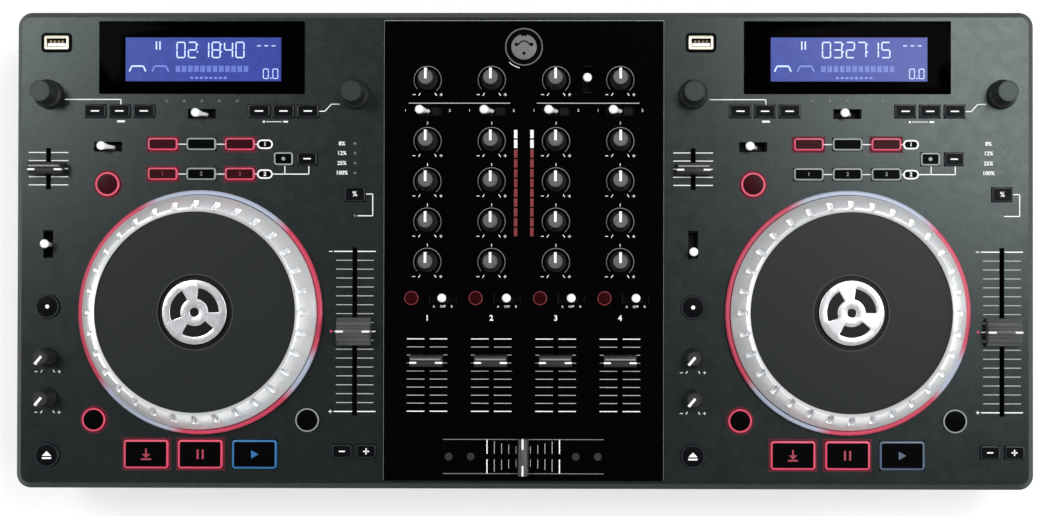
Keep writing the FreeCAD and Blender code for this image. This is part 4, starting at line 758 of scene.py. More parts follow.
def round_key(name, radius, ring, top, under, edge, centre):
    """A round key at the origin: a raised ring round a slightly domed face."""
    piece = turned(name, [
        (radius - 0.2, under), (radius, under + 0.3), (radius, top - 0.3), (radius - 0.3, top), (radius - ring, top),
        (radius - ring - 0.15, top - 0.4), (radius * 0.6, top - 0.25), (radius * 0.3, top - 0.18),
    ])
    coated(piece, centre, edge)
    paint_faces(piece, 1, lambda middle, normal: (
        radius - ring - 0.05 < middle.xy.length < radius + 0.1 and middle.z > top - 0.35))
    return smooth(piece)


class CONSOLE_OT_transport_keys(bpy.types.Operator):
    """The three large lit keys under each jog wheel"""
    bl_idname = "console.transport_keys"
    bl_label = "Transport keys"

    def execute(self, context):
        y = TRANSPORT_ROW
        for side, centre in DECKS:
            node = f"transport_buttons_{side}"
            top = top_of(node)
            level = top - KEY_SINK
            play = "blue_light" if side == "left" else "dim_blue"
            pieces = []
            for x, edge in ((-TRANSPORT_STEP, "red_light"), (0, "red_light"), (TRANSPORT_STEP, play)):
                face = key("transport_key", *TRANSPORT_KEY, size("transport_frame"), top, edge, "key_centre")
                pieces.append(shifted(face, x, y))
            x = -TRANSPORT_STEP
            bars = [(x - 3.2, y - 3.2, x + 3.2, y - 3.2, 1.1), (x, y - 1.2, x, y + 3.5, 1.1)]
            pieces.append(strokes("cue_sign", bars, level, "red_sign"))
            pieces.append(icon("cue_head", [(x - 2.6, y + 0.1), (x, y - 2.6), (x + 2.6, y + 0.1)], level, "red_sign"))
            bars = [(x, y - 3.0, x, y + 3.0, 1.3) for x in (-1.6, 1.6)]
            pieces.append(strokes("pause_sign", bars, level, "red_sign"))
            back, tip, reach = TRANSPORT_STEP - 2.08, TRANSPORT_STEP + 2.6, 2.6
            pieces.append(icon("play", [(back, y - reach), (tip, y), (back, y + reach)], level, play))
            fixed(shifted(joined(node + "_dressed", pieces), centre), node, "key", node)
        return {"FINISHED"}


class CONSOLE_OT_small_keys(bpy.types.Operator):
    """Menu, loop, record, range and bend keys of both decks"""
    bl_idname = "console.small_keys"
    bl_label = "Small keys"

    def execute(self, context):
        top = top_of("key_buttons")
        level = top - KEY_SINK
        dark, red, grey = ("key_edge", "key_black"), ("red_light", "key_red"), ("grey_frame", "key_centre")
        models, pieces = {}, []

        def add(width, depth, look, x, y):
            """One key of the deck, copied from the first of its size and look."""
            if (width, depth, look) not in models:
                frame_width = 0.8 if look is dark else size("key_frame")
                models[(width, depth, look)] = key("small_key", width, depth, frame_width, top, *look)
            pieces.append(copied(models[(width, depth, look)], "small_key", centre + x, y))

        def mark(name, x, y, reach, upright=False):
            """A dash on a key, or a cross of two."""
            x += centre
            bars = [(x - reach, y, x + reach, y, 0.8)]
            if upright:
                bars.append((x, y - reach, x, y + reach, 0.8))
            pieces.append(strokes(name, bars, level, "white"))

        for side, centre in DECKS:
            for middle in (-51.7, 51.7):
                for x in (middle - 15.4, middle, middle + 15.4):
                    add(13.2, 8.2, dark, x, MENU_ROW)
                    mark("menu_mark", x, MENU_ROW, 2.6)
            for number, (x, look) in enumerate(zip((-LOOP_STEP, 0, LOOP_STEP), (red, grey, red)), start=1):
                add(*LOOP_KEY, look, x, LOOP_ROWS[0])
                lower = look if side == "left" else grey
                add(*LOOP_KEY, lower, x, LOOP_ROWS[1])
                tone = "red_sign" if lower is red else "grey_frame"
                pieces.append(lettering("loop_number", str(number), 2.6, centre + x, LOOP_ROWS[1], level, tone))
            add(12, 8.2, grey, 51.8, MODE_ROW)
            pieces.append(round_dot(centre + 51.8, MODE_ROW, 1.2, level, "grey_frame"))
            add(12, 8.2, dark, 66.7, MODE_ROW)
            mark("mode_mark", 66.7, MODE_ROW, 2.3)
            add(12.9, 9, dark, PITCH_X, 35.2)
            pieces.append(lettering("percent", "%", 3.2, centre + PITCH_X, 35.2, level, "white", 0.04))
            for x, upright in ((89.1, False), (104.3, True)):
                add(12, 8.2, dark, x, BEND_ROW)
                mark("bend_mark", x, BEND_ROW, 1.9, upright)
        for model in models.values():
            removed(model)
        fixed(joined("small_keys", pieces), "key_buttons", "key", "key_buttons")
        return {"FINISHED"}


class CONSOLE_OT_round_keys(bpy.types.Operator):
    """Round keys of the decks and the lit listen keys of the mixer"""
    bl_idname = "console.round_keys"
    bl_label = "Round keys"

    def execute(self, context):
        pieces = []
        top, low = PANEL + 1.8, PANEL - 1.0
        face = top - 0.2
        for _, centre in DECKS:
            for x, y, radius, ring, edge, middle in (RECORD_KEY, REVERSE_KEY, BACK_KEY, FORWARD_KEY, EJECT_KEY):
                pieces.append(shifted(round_key("round_key", radius, ring, top, low, edge, middle), centre + x, y))
            x, y = centre + EJECT_KEY[0], EJECT_KEY[1]
            corners = [(x - 2.9, y - 0.4), (x + 2.9, y - 0.4), (x, y + 2.6)]
            pieces.append(icon("eject_head", corners, face, "white", 0.15))
            pieces.append(strokes("eject_bar", [(x - 2.9, y - 1.8, x + 2.9, y - 1.8, 1.1)], face, "white", 0.15))
            pieces.append(round_dot(centre + REVERSE_KEY[0], REVERSE_KEY[1], 1.3, face, "white"))
        for x in COLUMNS:
            model = round_key("listen_key", 4.4, 0.5, PLATE + 1.8, PLATE - 1.0, "listen_ring", "listen_red")
            pieces.append(shifted(model, x - LISTEN_OFFSET, LISTEN_ROW))
        fixed(joined("round_keys", pieces), "round_buttons", "key", "round_buttons")
        return {"FINISHED"}


# ---------------------------------------------------------------- faders and levers

def profiled(name, width, corners):
    """A bar along X at the origin whose ends have one outline of (y, level) corners."""
    return slab(name, [(-width / 2, y, level) for y, level in corners], (width, 0, 0))


def dashes(name, width, y, level, long, thick=1.1):
    """Two white dashes at the ends of a cap's grip, each running down the cap's side."""
    half = width / 2
    lines = [(way * (half - long), y, way * (half - 0.15), y, thick) for way in (-1, 1)]
    drops = [(way * (half + 0.02), y - thick / 2, way * (half + 0.02), y + thick / 2, 0.12) for way in (-1, 1)]
    return joined(name, [strokes(name, lines, level, "white", 0.12), strokes(name, drops, level - 3.0, "white", 3.0)])


def saddle_cap(name, width, depth, low, high):
    """A fader cap at the origin: a shoulder, a raised ridge coloured light grey as a painted highlight, and a hollow
    with two dashes before the front lip.
    """
    half = depth / 2
    body = profiled(name, width, [
        (-half, low), (half, low), (half - 0.15, high - 3.5), (half - 0.5, high - 0.9), (half * 0.46, high - 0.45),
        (half * 0.42, high - 0.75), (half * 0.12, high - 0.9), (0, high - 1.5), (-half * 0.58, high - 1.5),
        (-half * 0.66, high - 0.9), (-half + 0.5, high - 1.0), (-half + 0.15, high - 3.5)])
    coated(softened(body, 0.18), "rubber")
    ridge = profiled(name + "_ridge", width - 1.6, [
        (half * 0.14, high - 1.2), (half * 0.44, high - 1.2), (half * 0.42, high - 0.15), (half * 0.34, high),
        (half * 0.24, high), (half * 0.16, high - 0.15)])
    # The ridge is real shape, but its light grey is a painted highlight.
    coated(smooth(ridge), "edge")
    return joined(name, [body, ridge, dashes(name + "_dashes", width, -half * 0.28, high - 1.5, 4.4)])


# Outlines of the stepped caps: shares of half the depth and of the height.
PITCH_STEPS = (
    (1.0, 0), (0.965, 0.49), (0.74, 0.55), (0.72, 0.70), (0.40, 0.75), (0.37, 0.86), (0.19, 0.90), (0.15, 1.0))
CROSS_STEPS = ((1.0, 0), (0.93, 0.60), (0.80, 0.66), (0.72, 0.86), (0.44, 0.92), (0.36, 1.0))


def stepped_cap(name, width, depth, low, high, steps, long):
    """A fader cap at the origin that rises in steps to a ridge with two dashes."""
    half = depth / 2
    corners = [(half * share, low + (high - low) * height) for share, height in steps]
    corners += [(-y, level) for y, level in reversed(corners)]
    body = coated(softened(profiled(name, width, corners), 0.2), "cap")
    return joined(name, [body, dashes(name + "_dashes", width, 0, high, long)])


class CONSOLE_OT_faders(bpy.types.Operator):
    """Caps of the channel, effect, pitch and cross faders"""
    bl_idname = "console.faders"
    bl_label = "Faders"

    def execute(self, context):
        for kind, width, depth, base, places in (
                ("channel", 20.5, 7.7, PLATE, [(x, CHANNEL_ROW) for x in COLUMNS]),
                ("effect", 21, 7.6, PANEL, [(centre - SIDE, EFFECT_ROW) for _, centre in DECKS])):
            model = saddle_cap(kind + "_cap", width, depth, base + 1, base + 11)
            caps = [copied(model, kind + "_cap", x, y) for x, y in places]
            removed(model)
            node = kind + "_fader_caps"
            fixed(joined(kind + "_caps", caps), node, "rubber", node)
        model = stepped_cap("pitch_cap", 21, 17.8, PANEL + 1, PANEL + 11.9, PITCH_STEPS, 4.6)
        for side, centre in DECKS:
            stand_in(model, f"pitch_fader_{side}", "rubber", centre + PITCH_X, PITCH_ROW)
        removed(model)
        cap = stepped_cap("cross_cap", 23, 6.6, CROSS_PLATE + 1, CROSS_PLATE + 10.9, CROSS_STEPS, 6.5)
        spun(cap, 90, 0, 0)
        fixed(shifted(cap, 0, CROSS_ROW), "crossfader_cap", "rubber", "crossfader_cap")
        return {"FINISHED"}


def stick(name, low, surface, high):
    """An upright lever at the origin, in the frame's own white: a thin foot that widens to a rounded head."""
    head, foot = size("lever_head"), 1.3
    piece = turned(name, [
        (foot, low), (foot, surface), (foot + 0.35, surface + 1.5), (head * 0.82, high - 4.6), (head, high - 2.4),
        (head, high - 1.5), (head * 0.9, high - 0.8), (head * 0.7, high - 0.3), (head * 0.35, high),
    ], sides=28)
    return coated(smooth(piece, 50), bpy.data.materials["lever_white"])


class CONSOLE_OT_levers(bpy.types.Operator):
    """White heads of the selector levers and the tilted input levers"""
    bl_idname = "console.levers"
    bl_label = "Levers"

    def execute(self, context):
        upright = stick("lever", PLATE - 6, PLATE, top_of("select_levers"))
        deck = stick("deck_lever", PANEL - 6, PANEL, PANEL + 10)
        pieces = [copied(upright, "assign_lever", x + LISTEN_OFFSET, LISTEN_ROW) for x in COLUMNS]
        for _, centre in DECKS:
            for x, y in ((centre, 85.8), (centre - 59.1, 65)):
                pieces.append(spun(copied(deck, "deck_lever", x, y), -18, x, y, PANEL, "Y"))
        fixed(joined("select_lever_heads", pieces), "select_levers", "lever_white", "select_levers")
        pieces = [copied(upright, "stereo_lever", 39.9, 107.5)]
        for (_, centre), y in zip(DECKS, (3.5, -1.1)):
            pieces.append(copied(deck, "reverse_lever", centre - SIDE, y))
        fixed(joined("reverse_lever_heads", pieces), "reverse_levers", "lever_white", "reverse_levers")
        pivot = PANEL - 2.1
        for number, x in enumerate(COLUMNS, start=1):
            node = f"input_lever_{number}"
            lever = spun(stick(node + "_dressed", pivot, PLATE, PLATE + 10), -22, 0, 0, pivot, "Y")
            fixed(shifted(lever, x, INPUT_ROW), node, "lever_white", node)
        removed(upright)
        removed(deck)
        return {"FINISHED"}


# ---------------------------------------------------------------- displays and meters

# Which bars of a seven-segment figure are lit, a to g as usual.
SEGMENTS = {"0": "abcdef", "1": "bc", "2": "abged", "3": "abgcd", "4": "fgbc", "5": "afgcd", "6": "afgedc",
            "7": "abc", "8": "abcdefg", "9": "abcdfg"}


def figure(digit, x, y, height):
    """One seven-segment figure whose lower left corner is at x, y."""
    wide, thick, half = height * 0.52, height * 0.085, height / 2
    gap = thick * 0.35
    bars = {
        "a": (x + gap, y + height, x + wide - gap, y + height), "d": (x + gap, y, x + wide - gap, y),
        "g": (x + gap, y + half, x + wide - gap, y + half), "f": (x, y + half + gap, x, y + height - gap),
        "b": (x + wide, y + half + gap, x + wide, y + height - gap), "e": (x, y + gap, x, y + half - gap),
        "c": (x + wide, y + gap, x + wide, y + half - gap),
    }
    return [bars[segment] + (thick,) for segment in SEGMENTS[digit]]


class CONSOLE_OT_displays(bpy.types.Operator):
    """Display windows with lit screens, and the two level meters"""
    bl_idname = "console.displays"
    bl_label = "Displays and meters"

    def window(self, top):
        """A display window at the middle of a deck, with its screen sunk into it."""
        window = softened(block("display_window", *WINDOW, PANEL - 0.5, top, 0, WINDOW_ROW), 0.5, segments=3)
        spare = WINDOW[1] - SCREEN[1] - 1.0
        pick_top(window)
        step(spare / 2)
        bpy.ops.transform.resize(
            value=(SCREEN[0] / (WINDOW[0] - 1.0 - spare), 1.0, 1.0), center_override=(0, WINDOW_ROW * MM, top * MM))
        bpy.ops.transform.translate(value=(SCREEN_X * MM, (SCREEN_ROW - WINDOW_ROW) * MM, 0))
        pulled(0, 0, -SCREEN_SINK)
        leave()
        coated(smooth(window, 30), "window", "screen")
        paint_faces(window, 1, lambda middle, normal: normal.z > 0.9 and PANEL < middle.z < top - 0.3)
        return window

    def execute(self, context):
        top = top_of("display_windows")
        level = top - SCREEN_SINK
        left, foot = SCREEN_X - SCREEN[0] / 2, SCREEN_ROW - SCREEN[1] / 2
        pieces = []
        for (_, centre), text in zip(DECKS, ("02:18:40", "03:27:15")):
            deck = [self.window(top)]
            bars, x = [], left + 32.5
            for sign in text:
                if sign == ":":
                    bars += [(x - 1.9, foot + y, x - 1.0, foot + y, 0.9) for y in (18.6, 23.2)]
                    x += 0.6
                else:
                    bars += figure(sign, x, foot + 15, size("digit_height") - 1.6)
                    x += 7.2
            bars += [(left + x, foot + 20, left + x, foot + 25.2, 0.9) for x in (19.5, 21.7)]
            deck.append(strokes("large_figures", bars, level, "figures"))
            bars = figure("0", left + 87, foot + 1.8, 6.0) + figure("0", left + 93, foot + 1.8, 6.0)
            bars.append((left + 91.4, foot + 2.0, left + 92.1, foot + 2.0, 0.8))
            bars += [(left + x, foot + 22.4, left + x + 2.4, foot + 22.4, 0.6) for x in (83, 87.6, 92.2)]
            deck.append(strokes("small_figures", bars, level, "figures"))
            cells = [left + 32 + group * 3.9 + cell * 0.75 for group in range(12) for cell in range(4)]
            bars = [(x, foot + 5.9, x, foot + 9.8, 0.45) for x in cells]
            cells = [left + 41 + number * 3.0 for number in range(8)]
            bars += [(x, foot + 2.2, x + 1.8, foot + 2.2, 1.2) for x in cells]
            deck.append(strokes("dot_row", bars, level, "faint"))
            low, high = foot + 6.2, foot + 9.6
            for x, tone in ((left + 7.6, "figures"), (left + 22, "faint")):
                bars = [(x + way * 5.2, low, x + way * 3.6, high, 0.9) for way in (-1, 1)]
                bars.append((x - 3.6, high, x + 3.6, high, 1.0))
                deck.append(strokes("gauge", bars, level, tone))
            pieces += [shifted(piece, centre) for piece in deck]
        for x in (-5.1, 5.1):
            column = block("meter_bar", 3.4, 67.8, PLATE - 2, PLATE, x, 42.1)
            pick_top(column)
            step(0.3, -0.1)
            leave()
            pieces.append(coated(column, "key_centre"))
            for number in range(11):
                y = 72.92 - number * 6.15
                look = "meter_white" if number < 2 else "meter_red"
                pieces.append(strokes("meter_cell", [(x, y - 2.6, x, y + 2.6, 2.1)], PLATE - 0.1, look, 0.14))
        fixed(joined("displays_and_meters", pieces), "chassis", "window", "display_windows", "display_modules")
        return {"FINISHED"}


# ---------------------------------------------------------------- sockets

def framed(name, width, depth, mouth_width, mouth_depth, low, high, corner, look):
    """A rounded block at the origin with a mouth through it, its top sloping into the mouth."""
    piece = rounded_block(name, width, depth, low, high, corner)
    share = (mouth_width / (width - 1.0), mouth_depth / (depth - 1.0), 1.0)
    for level, drop in ((high, -0.3), (low, 0.0)):
        pick(piece, lambda middle, normal: abs(middle.z - level) < 0.01)
        step(0.5)
        bpy.ops.transform.resize(value=share, center_override=(0, 0, level * MM))
        bpy.ops.transform.translate(value=(0, 0, drop * MM))
        leave()
    pick(piece, lambda middle, normal: abs(normal.z) > 0.9 and middle.xy.length < 0.01)
    bpy.ops.mesh.bridge_edge_loops()
    outward()
    return coated(smooth(piece, 30), look)


class CONSOLE_OT_sockets(bpy.types.Operator):
    """Rim, insert and contacts of the microphone socket and the shells of the memory-stick sockets"""
    bl_idname = "console.sockets"
    bl_label = "Sockets"

    def execute(self, context):
        high = PLATE + 0.8
        face = high + 0.25
        rim = turned("mic_rim", [
            (11.9, PLATE), (11.9, high), (11.7, high + 0.2), (11.2, high + 0.2), (11.0, high), (11.0, PLATE),
            (11.9, PLATE)], sides=64, closed=True)
        gap = turned("mic_gap", [
            (12.6, PLATE + 0.1), (12.6, high - 0.1), (12.4, high + 0.1), (8.0, high + 0.1), (8.0, PLATE + 0.1),
            (12.6, PLATE + 0.1)], sides=64, closed=True)
        insert = turned("mic_insert", [
            (8.1, PLATE - 0.6), (8.1, high), (7.7, face), (2.9, face), (2.7, high + 0.1), (1.4, high + 0.1)])
        looks = ((rim, "socket_grey"), (gap, "key_centre"), (insert, "socket_grey"))
        pieces = [coated(smooth(piece), look) for piece, look in looks]
        for bearing, reach, hole in ((18, 5.0, 1.15), (162, 5.0, 1.15), (270, 4.0, 1.0)):
            x, y = reach * math.cos(math.radians(bearing)), reach * math.sin(math.radians(bearing))
            pieces.append(round_dot(x, y, hole, face, "key_centre", 0.05))
        pieces.append(arc("mic_jack", 3.7, 0.8, 20, 160, 0, 0, face, "key_centre", 0.06, steps=18))
        pieces.append(strokes("mic_latch", [(-1.9, 7.5, 1.9, 7.5, 1.3)], face, "key_centre", 0.1))
        fixed(shifted(joined("mic_socket_dressed", pieces), 0, MIC_ROW), "chassis", "black_plastic")
        recess = framed("usb_recess", 19.2, 12.2, 15.4, 8.6, PANEL, PANEL + 0.6, 2.6, "key_centre")
        shell = framed("usb_shell", 15.2, 8.4, 12.4, 5.2, PANEL + 0.4, PANEL + 0.8, 1.0, "shell")
        tongue = block("usb_tongue", 11.4, 2.0, PANEL - 2.0, PANEL + 0.35, 0, -1.3)
        coated(softened(tongue, 0.2), "white")
        lines = [(x, -0.2, x, 1.4, 1.2) for x in (-3.7, -1.3, 1.3, 3.7)]
        model = joined("usb_socket", [recess, shell, tongue, strokes("usb_contacts", lines, PANEL, "contact", 0.1)])
        for side, centre in DECKS:
            fixed(copied(model, f"usb_socket_{side}", centre - 91.8, 130.6), "chassis", "steel")
        removed(model)
        return {"FINISHED"}


# ---------------------------------------------------------------- printing

def knob_marks(x, row, slant, reach):
    """Slanted strokes under the ends of a knob's travel, with a minus on the left and a plus on the right."""
    outer, inner, low = slant
    marks = []
    for way in (-1, 1):
        marks.append((x + way * outer, row - low, x + way * inner, row - 8.2, 0.5))
        marks.append((x + way * (reach - 1.8), row - 9.2, x + way * reach, row - 9.2, 0.45))
    marks.append((x + reach - 0.9, row - 10.1, x + reach - 0.9, row - 8.3, 0.45))
    return marks


class CONSOLE_OT_mixer_prints(bpy.types.Operator):
    """Dials, scales, rules and channel numbers of the mixer, and painted highlights along its plate edges"""
    bl_idname = "console.mixer_prints"
    bl_label = "Mixer printing"

    def execute(self, context):
        pieces = [arc("mic_line", 13.3, 0.45, 226, 258, 0, MIC_ROW, PLATE, "white", steps=10)]
        marks = {(tone, level): [] for tone in ("white", "grey") for level in (PLATE, CROSS_PLATE)}
        white, grey = marks["white", PLATE], marks["grey", PLATE]
        model = arc("dial", size("dial_radius"), 0.45, -50, 222, 0, 0, PLATE, "dial")
        for x in COLUMNS:
            for row in (MASTER_ROW, *TONE_ROWS.values()):
                pieces.append(copied(model, "dial", x, row))
                white += knob_marks(x, row, (5.6, 4.5, 9.9), 9.4)
                if row < 60:
                    white.append((x, row + 9.6, x, row + 11.4, 0.4))
            for number in range(10):
                y = -55.7 - number * 5.04
                lines, width = (white, 0.6) if number in (0, 9) else (grey, 0.42)
                lines += [(x + way * 1.66, y, x + way * 12.7, y, width) for way in (-1, 1)]
        removed(model)
        grey += [(-72.4, 92.3, -8.6, 92.3, 0.5), (8.1, 92.3, 72.5, 92.3, 0.5)]
        for offset, reach in ((22.7, 8.9), (18.1, 7.7), (13.6, 6.5), (9.1, 5.6), (4.5, 4.6)):
            tone, width = ("white", 0.7) if reach == 8.9 else ("grey", 0.4)
            for x in (-offset, offset):
                for way in (-1, 1):
                    near = CROSS_ROW + way * 1.75
                    marks[tone, CROSS_PLATE].append((x, near, x, near + way * reach, width))
        for (tone, level), lines in marks.items():
            pieces.append(strokes("mixer_" + tone, lines, level, tone))
        for number, x in enumerate(COLUMNS, start=1):
            pieces.append(lettering("channel_number", str(number), 3.5, x, -42.7, PLATE, "white", 0.10))
            for text, offset in (("A", -5.6), ("OFF", 0), ("B", 5.6)):
                pieces.append(lettering("assign_mark", text, 1.5, x + LISTEN_OFFSET + offset, -35.4, PLATE, "white"))
            for text, offset, y in (("1", -13.9, INPUT_ROW), ("2", 13.9, INPUT_ROW), ("3", 0, INPUT_ROW - 8)):
                pieces.append(lettering("input_number", text, 1.7, x + offset, y, PLATE, "white"))
        fixed(joined("mixer_printing", pieces), "chassis", "mixer_panel")
        rear, front = CROSS_EDGES
        # Painted highlights: light strips along the edges of the mixer plate and the cross plate, where their bevels
        # would catch light.
        edges = [
            strokes("plate_edges", [
                (-87.6, 144.2, 87.6, 144.2, 0.4), (-87.8, -144.2, -87.8, 144.2, 0.2), (87.8, -144.2, 87.8, 144.2, 0.2),
            ], PLATE - 0.02, "edge", 0.05),
            strokes("cross_edges", [(-50.4, rear, 50.4, rear, 0.45), (-50.4, front, 50.4, front, 0.45)],
                    CROSS_PLATE - 0.02, "dial", 0.05),
            strokes("cross_shine", [(0, rear, 49.8, rear, 0.3), (14, front, 49.8, front, 0.3)],
                    CROSS_PLATE, "edge", 0.05),
        ]
        fixed(joined("plate_edges", edges), "chassis", "mixer_panel")
        return {"FINISHED"}


# Rules and brackets of a deck, as (x0, y0, x1, y1, width) from its middle.
DECK_RULES = (
    (-86.4, 94.8, -51.1, 94.8, 0.6), (-51.1, 94.8, -51.1, 91.7, 0.6), (73.9, 87.4, 77.6, 87.4, 0.6),
    (77.6, 87.4, 81.7, 91.9, 0.6), (81.7, 91.9, 87.0, 91.9, 0.6), (44.7, 47.8, 67.6, 47.8, 0.6),
    (52.5, 47.8, 52.5, 52.9, 0.6), (67.6, 47.8, 67.6, 52.9, 0.6), (103.7, 35.3, 107.9, 35.3, 0.6),
    (107.9, 35.3, 107.9, 21.6, 0.6), (107.9, 21.6, 98.3, 21.6, 0.6), (40.5, 80.8, 50.4, 80.8, 0.4),
    (51.4, 80.8, 54.4, 80.8, 1.0), (-53.4, 81.0, -48.6, 81.0, 1.2), (80.5, -0.8, 82.7, -0.8, 0.5),
    (80.5, -101.4, 82.7, -101.4, 0.5), (81.6, -102.5, 81.6, -100.3, 0.5))


class CONSOLE_OT_deck_prints(bpy.types.Operator):
    """Scales, rules, brackets, numbers and small lamps of both decks, with painted red glow round the lit keys"""
    bl_idname = "console.deck_prints"
    bl_label = "Deck printing"

    def lines(self):
        """The white and the grey lines of a deck."""
        white, grey = list(DECK_RULES), []
        for row in LOOP_ROWS:
            white += [(x0, row, x1, row, 0.6) for x0, x1 in ((-14.9, -9.4), (9.4, 14.9), (33.6, 35.2))]
        for number in range(5):
            y = EFFECT_ROW + 10.2 - number * 5.1
            white += [(way * 1.7 - SIDE, y, way * 12.5 - SIDE, y, 0.55) for way in (-1, 1)]
        for number in range(19):
            y = PITCH_ROW + 50.3 - number * 5.59
            lines, reach, width = (white, 13.1, 0.65) if number in (0, 9, 18) else (grey, 11.8, 0.5)
            lines += [(PITCH_X + way * 1.6, y, PITCH_X + way * reach, y, width) for way in (-1, 1)]
        for row in TIME_ROWS:
            white += knob_marks(-SIDE, row, (4.4, 3.4, 9.8), 8.2)
        return white, grey

    def halos(self, rows):
        """Painted red glow on the panel round the lit keys of a deck, with the loop keys of the given rows."""
        keys = [(x, TRANSPORT_ROW) + TRANSPORT_KEY for x in (0, -TRANSPORT_STEP)]
        keys += [(x, row) + LOOP_KEY for row in rows for x in (-LOOP_STEP, LOOP_STEP)]
        bars, width = [], 1.2
        for x, y, wide, deep in keys:
            across, along = wide / 2 + 0.75, deep / 2 + 0.75
            for way in (-1, 1):
                bars.append((x - across - width / 2, y + way * along, x + across + width / 2, y + way * along, width))
                bars.append((x + way * across, y - along + width / 2, x + way * across, y + along - width / 2, width))
        # Glowing red strips and rings laid on the panel: painted light spill round the lit keys.
        pieces = [strokes("key_halos", bars, PANEL, "red_halo", 0.05)]
        for x, y, radius, *_ in (RECORD_KEY, BACK_KEY):
            pieces.append(arc("round_halo", radius + 0.8, width, 0, 359.9, x, y, PANEL, "red_halo", 0.05, steps=48))
        return pieces

    def execute(self, context):
        white, grey = self.lines()
        for (side, centre), rows in zip(DECKS, (LOOP_ROWS, LOOP_ROWS[:1])):
            pieces = [strokes("deck_lines", white, PANEL, "white"), strokes("pitch_lines", grey, PANEL, "grey")]
            for row, number in zip(LOOP_ROWS, "12"):
                for x, start in ((PILL_X - 2, 90), (PILL_X + 2, -90)):
                    pieces.append(arc("pill", 2.5, 0.9, start, start + 180, x, row, PANEL, "white", steps=14))
                bars = [(PILL_X - 2, y, PILL_X + 2, y, 0.9) for y in (row + 2.5, row - 2.5)]
                pieces.append(strokes("pill_sides", bars, PANEL, "white"))
                bars = [(PILL_X - 3.5, row, PILL_X + 3.5, row, 3.4)]
                pieces.append(strokes("pill_ground", bars, PANEL - 0.02, "key_centre", 0.05))
                pieces.append(lettering("pill_number", number, 2.5, PILL_X, row, PANEL, "white", 0.08))
            for row, text in ((67, "8%"), (61, "12%"), (54.7, "25%"), (48.6, "100%")):
                pieces.append(lettering("range_number", text, 2.5, 88.4, row, PANEL, "white", 0.06))
                pieces.append(round_dot(SIDE, row, 0.9, PANEL, "lamp_off", 0.3))
            for x in (-22.2, -11.1, 0, 11.1, 22.2):
                pieces.append(round_dot(x, 93.8, 0.9, PANEL, "lamp_off", 0.25))
            pieces.append(round_dot(SIDE, 21.6, 0.9, PANEL, "lamp_off", 0.3))
            pieces.append(round_dot(81.9, PITCH_ROW, 0.9, PANEL, "red_light", 0.35))
            pieces.append(round_dot(39.2, 80.8, 0.7, PANEL, "white"))
            pieces += self.halos(rows)
            fixed(shifted(joined(f"deck_printing_{side}", pieces), centre), "chassis", "panel")
        return {"FINISHED"}


# ---------------------------------------------------------------- case and stage

class CONSOLE_OT_case(bpy.types.Operator):
    """Paint and metal of the case, plates, feet, screws, drives and boards"""
    bl_idname = "console.case"
    bl_label = "Case"

    def execute(self, context):
        for node, look in (
                ("bottom_tray", "tray"), ("top_cover", "panel"), ("mixer_plates", "mixer"), ("feet", "feet"),
                ("screws", "screw"), ("disc_drives", "steel"), ("electronics", "board"), ("control_bases", "black"),
                ("audio_sockets", "black"), ("data_sockets", "black")):
            coated(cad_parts[node], look)
        return {"FINISHED"}


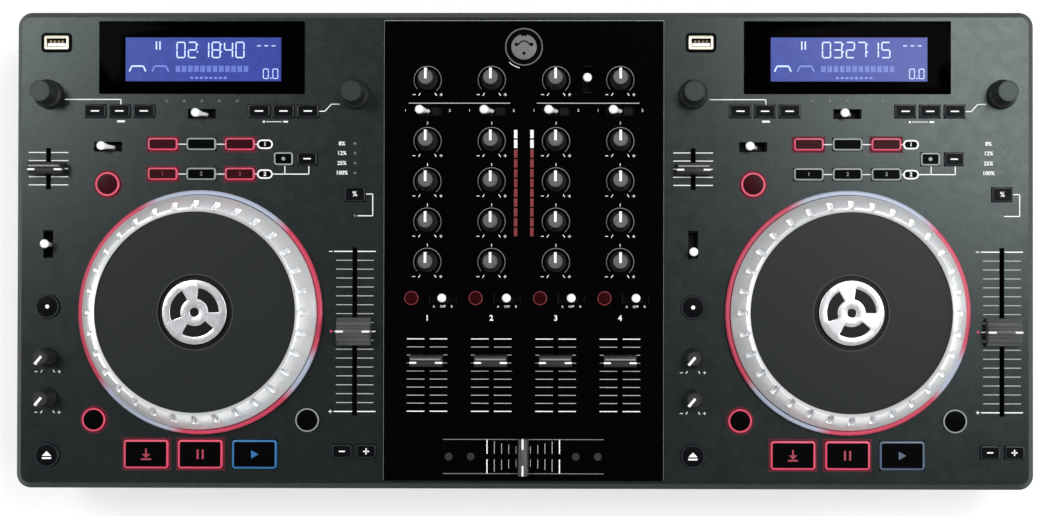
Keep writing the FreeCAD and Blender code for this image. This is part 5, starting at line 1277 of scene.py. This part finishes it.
class CONSOLE_OT_stage(bpy.types.Operator):
    """Pale floor, soft lamps, plain world and the camera"""
    bl_idname = "console.stage"
    bl_label = "Stage"

    def floor(self):
        """A pale slab that adds some plain white where the camera looks at it."""
        clear()
        bpy.ops.mesh.primitive_plane_add(size=8.0, location=(0, 0, -0.05 * MM))
        floor = settle("floor")
        pick(floor, lambda middle, normal: True)
        pulled(0, 0, -20)
        outward()
        made, tree, shader = blank("floor_paper")
        feed(tree, shader, {"Base Color": shade("floor") + (1,), "Roughness": 0.9})
        lit = add_node(tree, "Emission", {"Color": (1, 1, 1, 1)})
        path = add_node(tree, "LightPath", {})
        share = add_node(tree, "Math", {0: path.outputs["Is Camera Ray"], 1: 0.55}, "MULTIPLY")
        mix = add_node(tree, "MixShader", {0: share.outputs[0], 1: shader.outputs[0], 2: lit.outputs[0]})
        feed(tree, tree.nodes["Material Output"], {"Surface": mix.outputs[0]})
        return coated(floor, made)

    def lamp(self, name, place, reach, power):
        """A square lamp that looks at the middle of the console."""
        bpy.ops.object.light_add(type="AREA", location=place)
        lamp = bpy.context.object
        lamp.name = name
        lamp.data.size = reach
        lamp.data.energy = power
        lamp.rotation_euler = Vector(place).to_track_quat("Z", "Y").to_euler()
        return lamp

    def world(self):
        """Dim light from all round, seen as white."""
        world = bpy.context.scene.world or bpy.data.worlds.new("world")
        bpy.context.scene.world = world
        world.use_nodes = True
        tree = world.node_tree
        path = add_node(tree, "LightPath", {})
        strength = add_node(tree, "MapRange", {"To Min": 0.26, "Value": path.outputs["Is Camera Ray"]})
        feed(tree, tree.nodes["Background"], {"Color": (1, 1, 1, 1), "Strength": strength.outputs["Result"]})

    def camera(self):
        """A camera over the middle of the console, looking almost straight down."""
        distance, view_width = 1.15, 659.4 * MM
        tilt = [math.radians(degrees) for degrees in (0.50, 0.55, 0.09)]
        bpy.ops.object.camera_add(location=(0.044, -0.040, PANEL * MM + distance), rotation=tilt)
        camera = bpy.context.object
        camera.name = "camera"
        camera.data.lens = camera.data.sensor_width * distance / view_width
        camera.data.shift_x = -0.0487
        camera.data.shift_y = 0.0382
        bpy.context.scene.camera = camera
        return camera

    def execute(self, context):
        staged = [self.floor()]
        for name, place, reach, power in (
                ("left_rear_lamp", (-1.30, 0.72, 2.3), 0.80, 25), ("right_rear_lamp", (0.90, 0.66, 2.3), 1.00, 33),
                ("left_lamp", (-2.3, -0.2, 1.25), 1.2, 14), ("right_lamp", (2.3, -0.2, 1.25), 1.2, 38),
                ("front_lamp", (0.0, -2.2, 1.6), 1.4, 13)):
            staged.append(self.lamp(name, place, reach, power))
        self.world()
        staged.append(self.camera())
        bpy.context.scene.view_settings.view_transform = "Standard"
        return {"FINISHED"}


class CONSOLE_PT_pieces(bpy.types.Panel):
    """Every step of the console in order, with its sizes and colours"""
    bl_idname = "CONSOLE_PT_pieces"
    bl_label = "Console"
    bl_space_type = "VIEW_3D"
    bl_region_type = "UI"
    bl_category = "Console"

    def draw(self, context):
        layout = self.layout
        for step_class in STEPS:
            layout.operator(step_class.bl_idname)
        for owner in (context.scene.console_sizes, context.scene.console_colours):
            column = layout.column()
            for name in owner.bl_rna.properties.keys():
                if name not in ("rna_type", "name"):
                    column.prop(owner, name)


STEPS = (
    CONSOLE_OT_case, CONSOLE_OT_jogs, CONSOLE_OT_mixer_knobs, CONSOLE_OT_deck_knobs, CONSOLE_OT_transport_keys,
    CONSOLE_OT_small_keys, CONSOLE_OT_round_keys, CONSOLE_OT_faders, CONSOLE_OT_levers, CONSOLE_OT_displays,
    CONSOLE_OT_sockets, CONSOLE_OT_mixer_prints, CONSOLE_OT_deck_prints, CONSOLE_OT_stage,
)
CLASSES = (ConsoleSizes, ConsoleColours) + STEPS + (CONSOLE_PT_pieces,)


def register():
    for made in CLASSES:
        bpy.utils.register_class(made)
    bpy.types.Scene.console_sizes = bpy.props.PointerProperty(type=ConsoleSizes)
    bpy.types.Scene.console_colours = bpy.props.PointerProperty(type=ConsoleColours)


def unregister():
    del bpy.types.Scene.console_sizes
    del bpy.types.Scene.console_colours
    for made in reversed(CLASSES):
        bpy.utils.unregister_class(made)


def main():
    register()
    for step_class in STEPS:
        group, verb = step_class.bl_idname.split(".")
        getattr(getattr(bpy.ops, group), verb)()


if __name__ == "__main__":
    main()
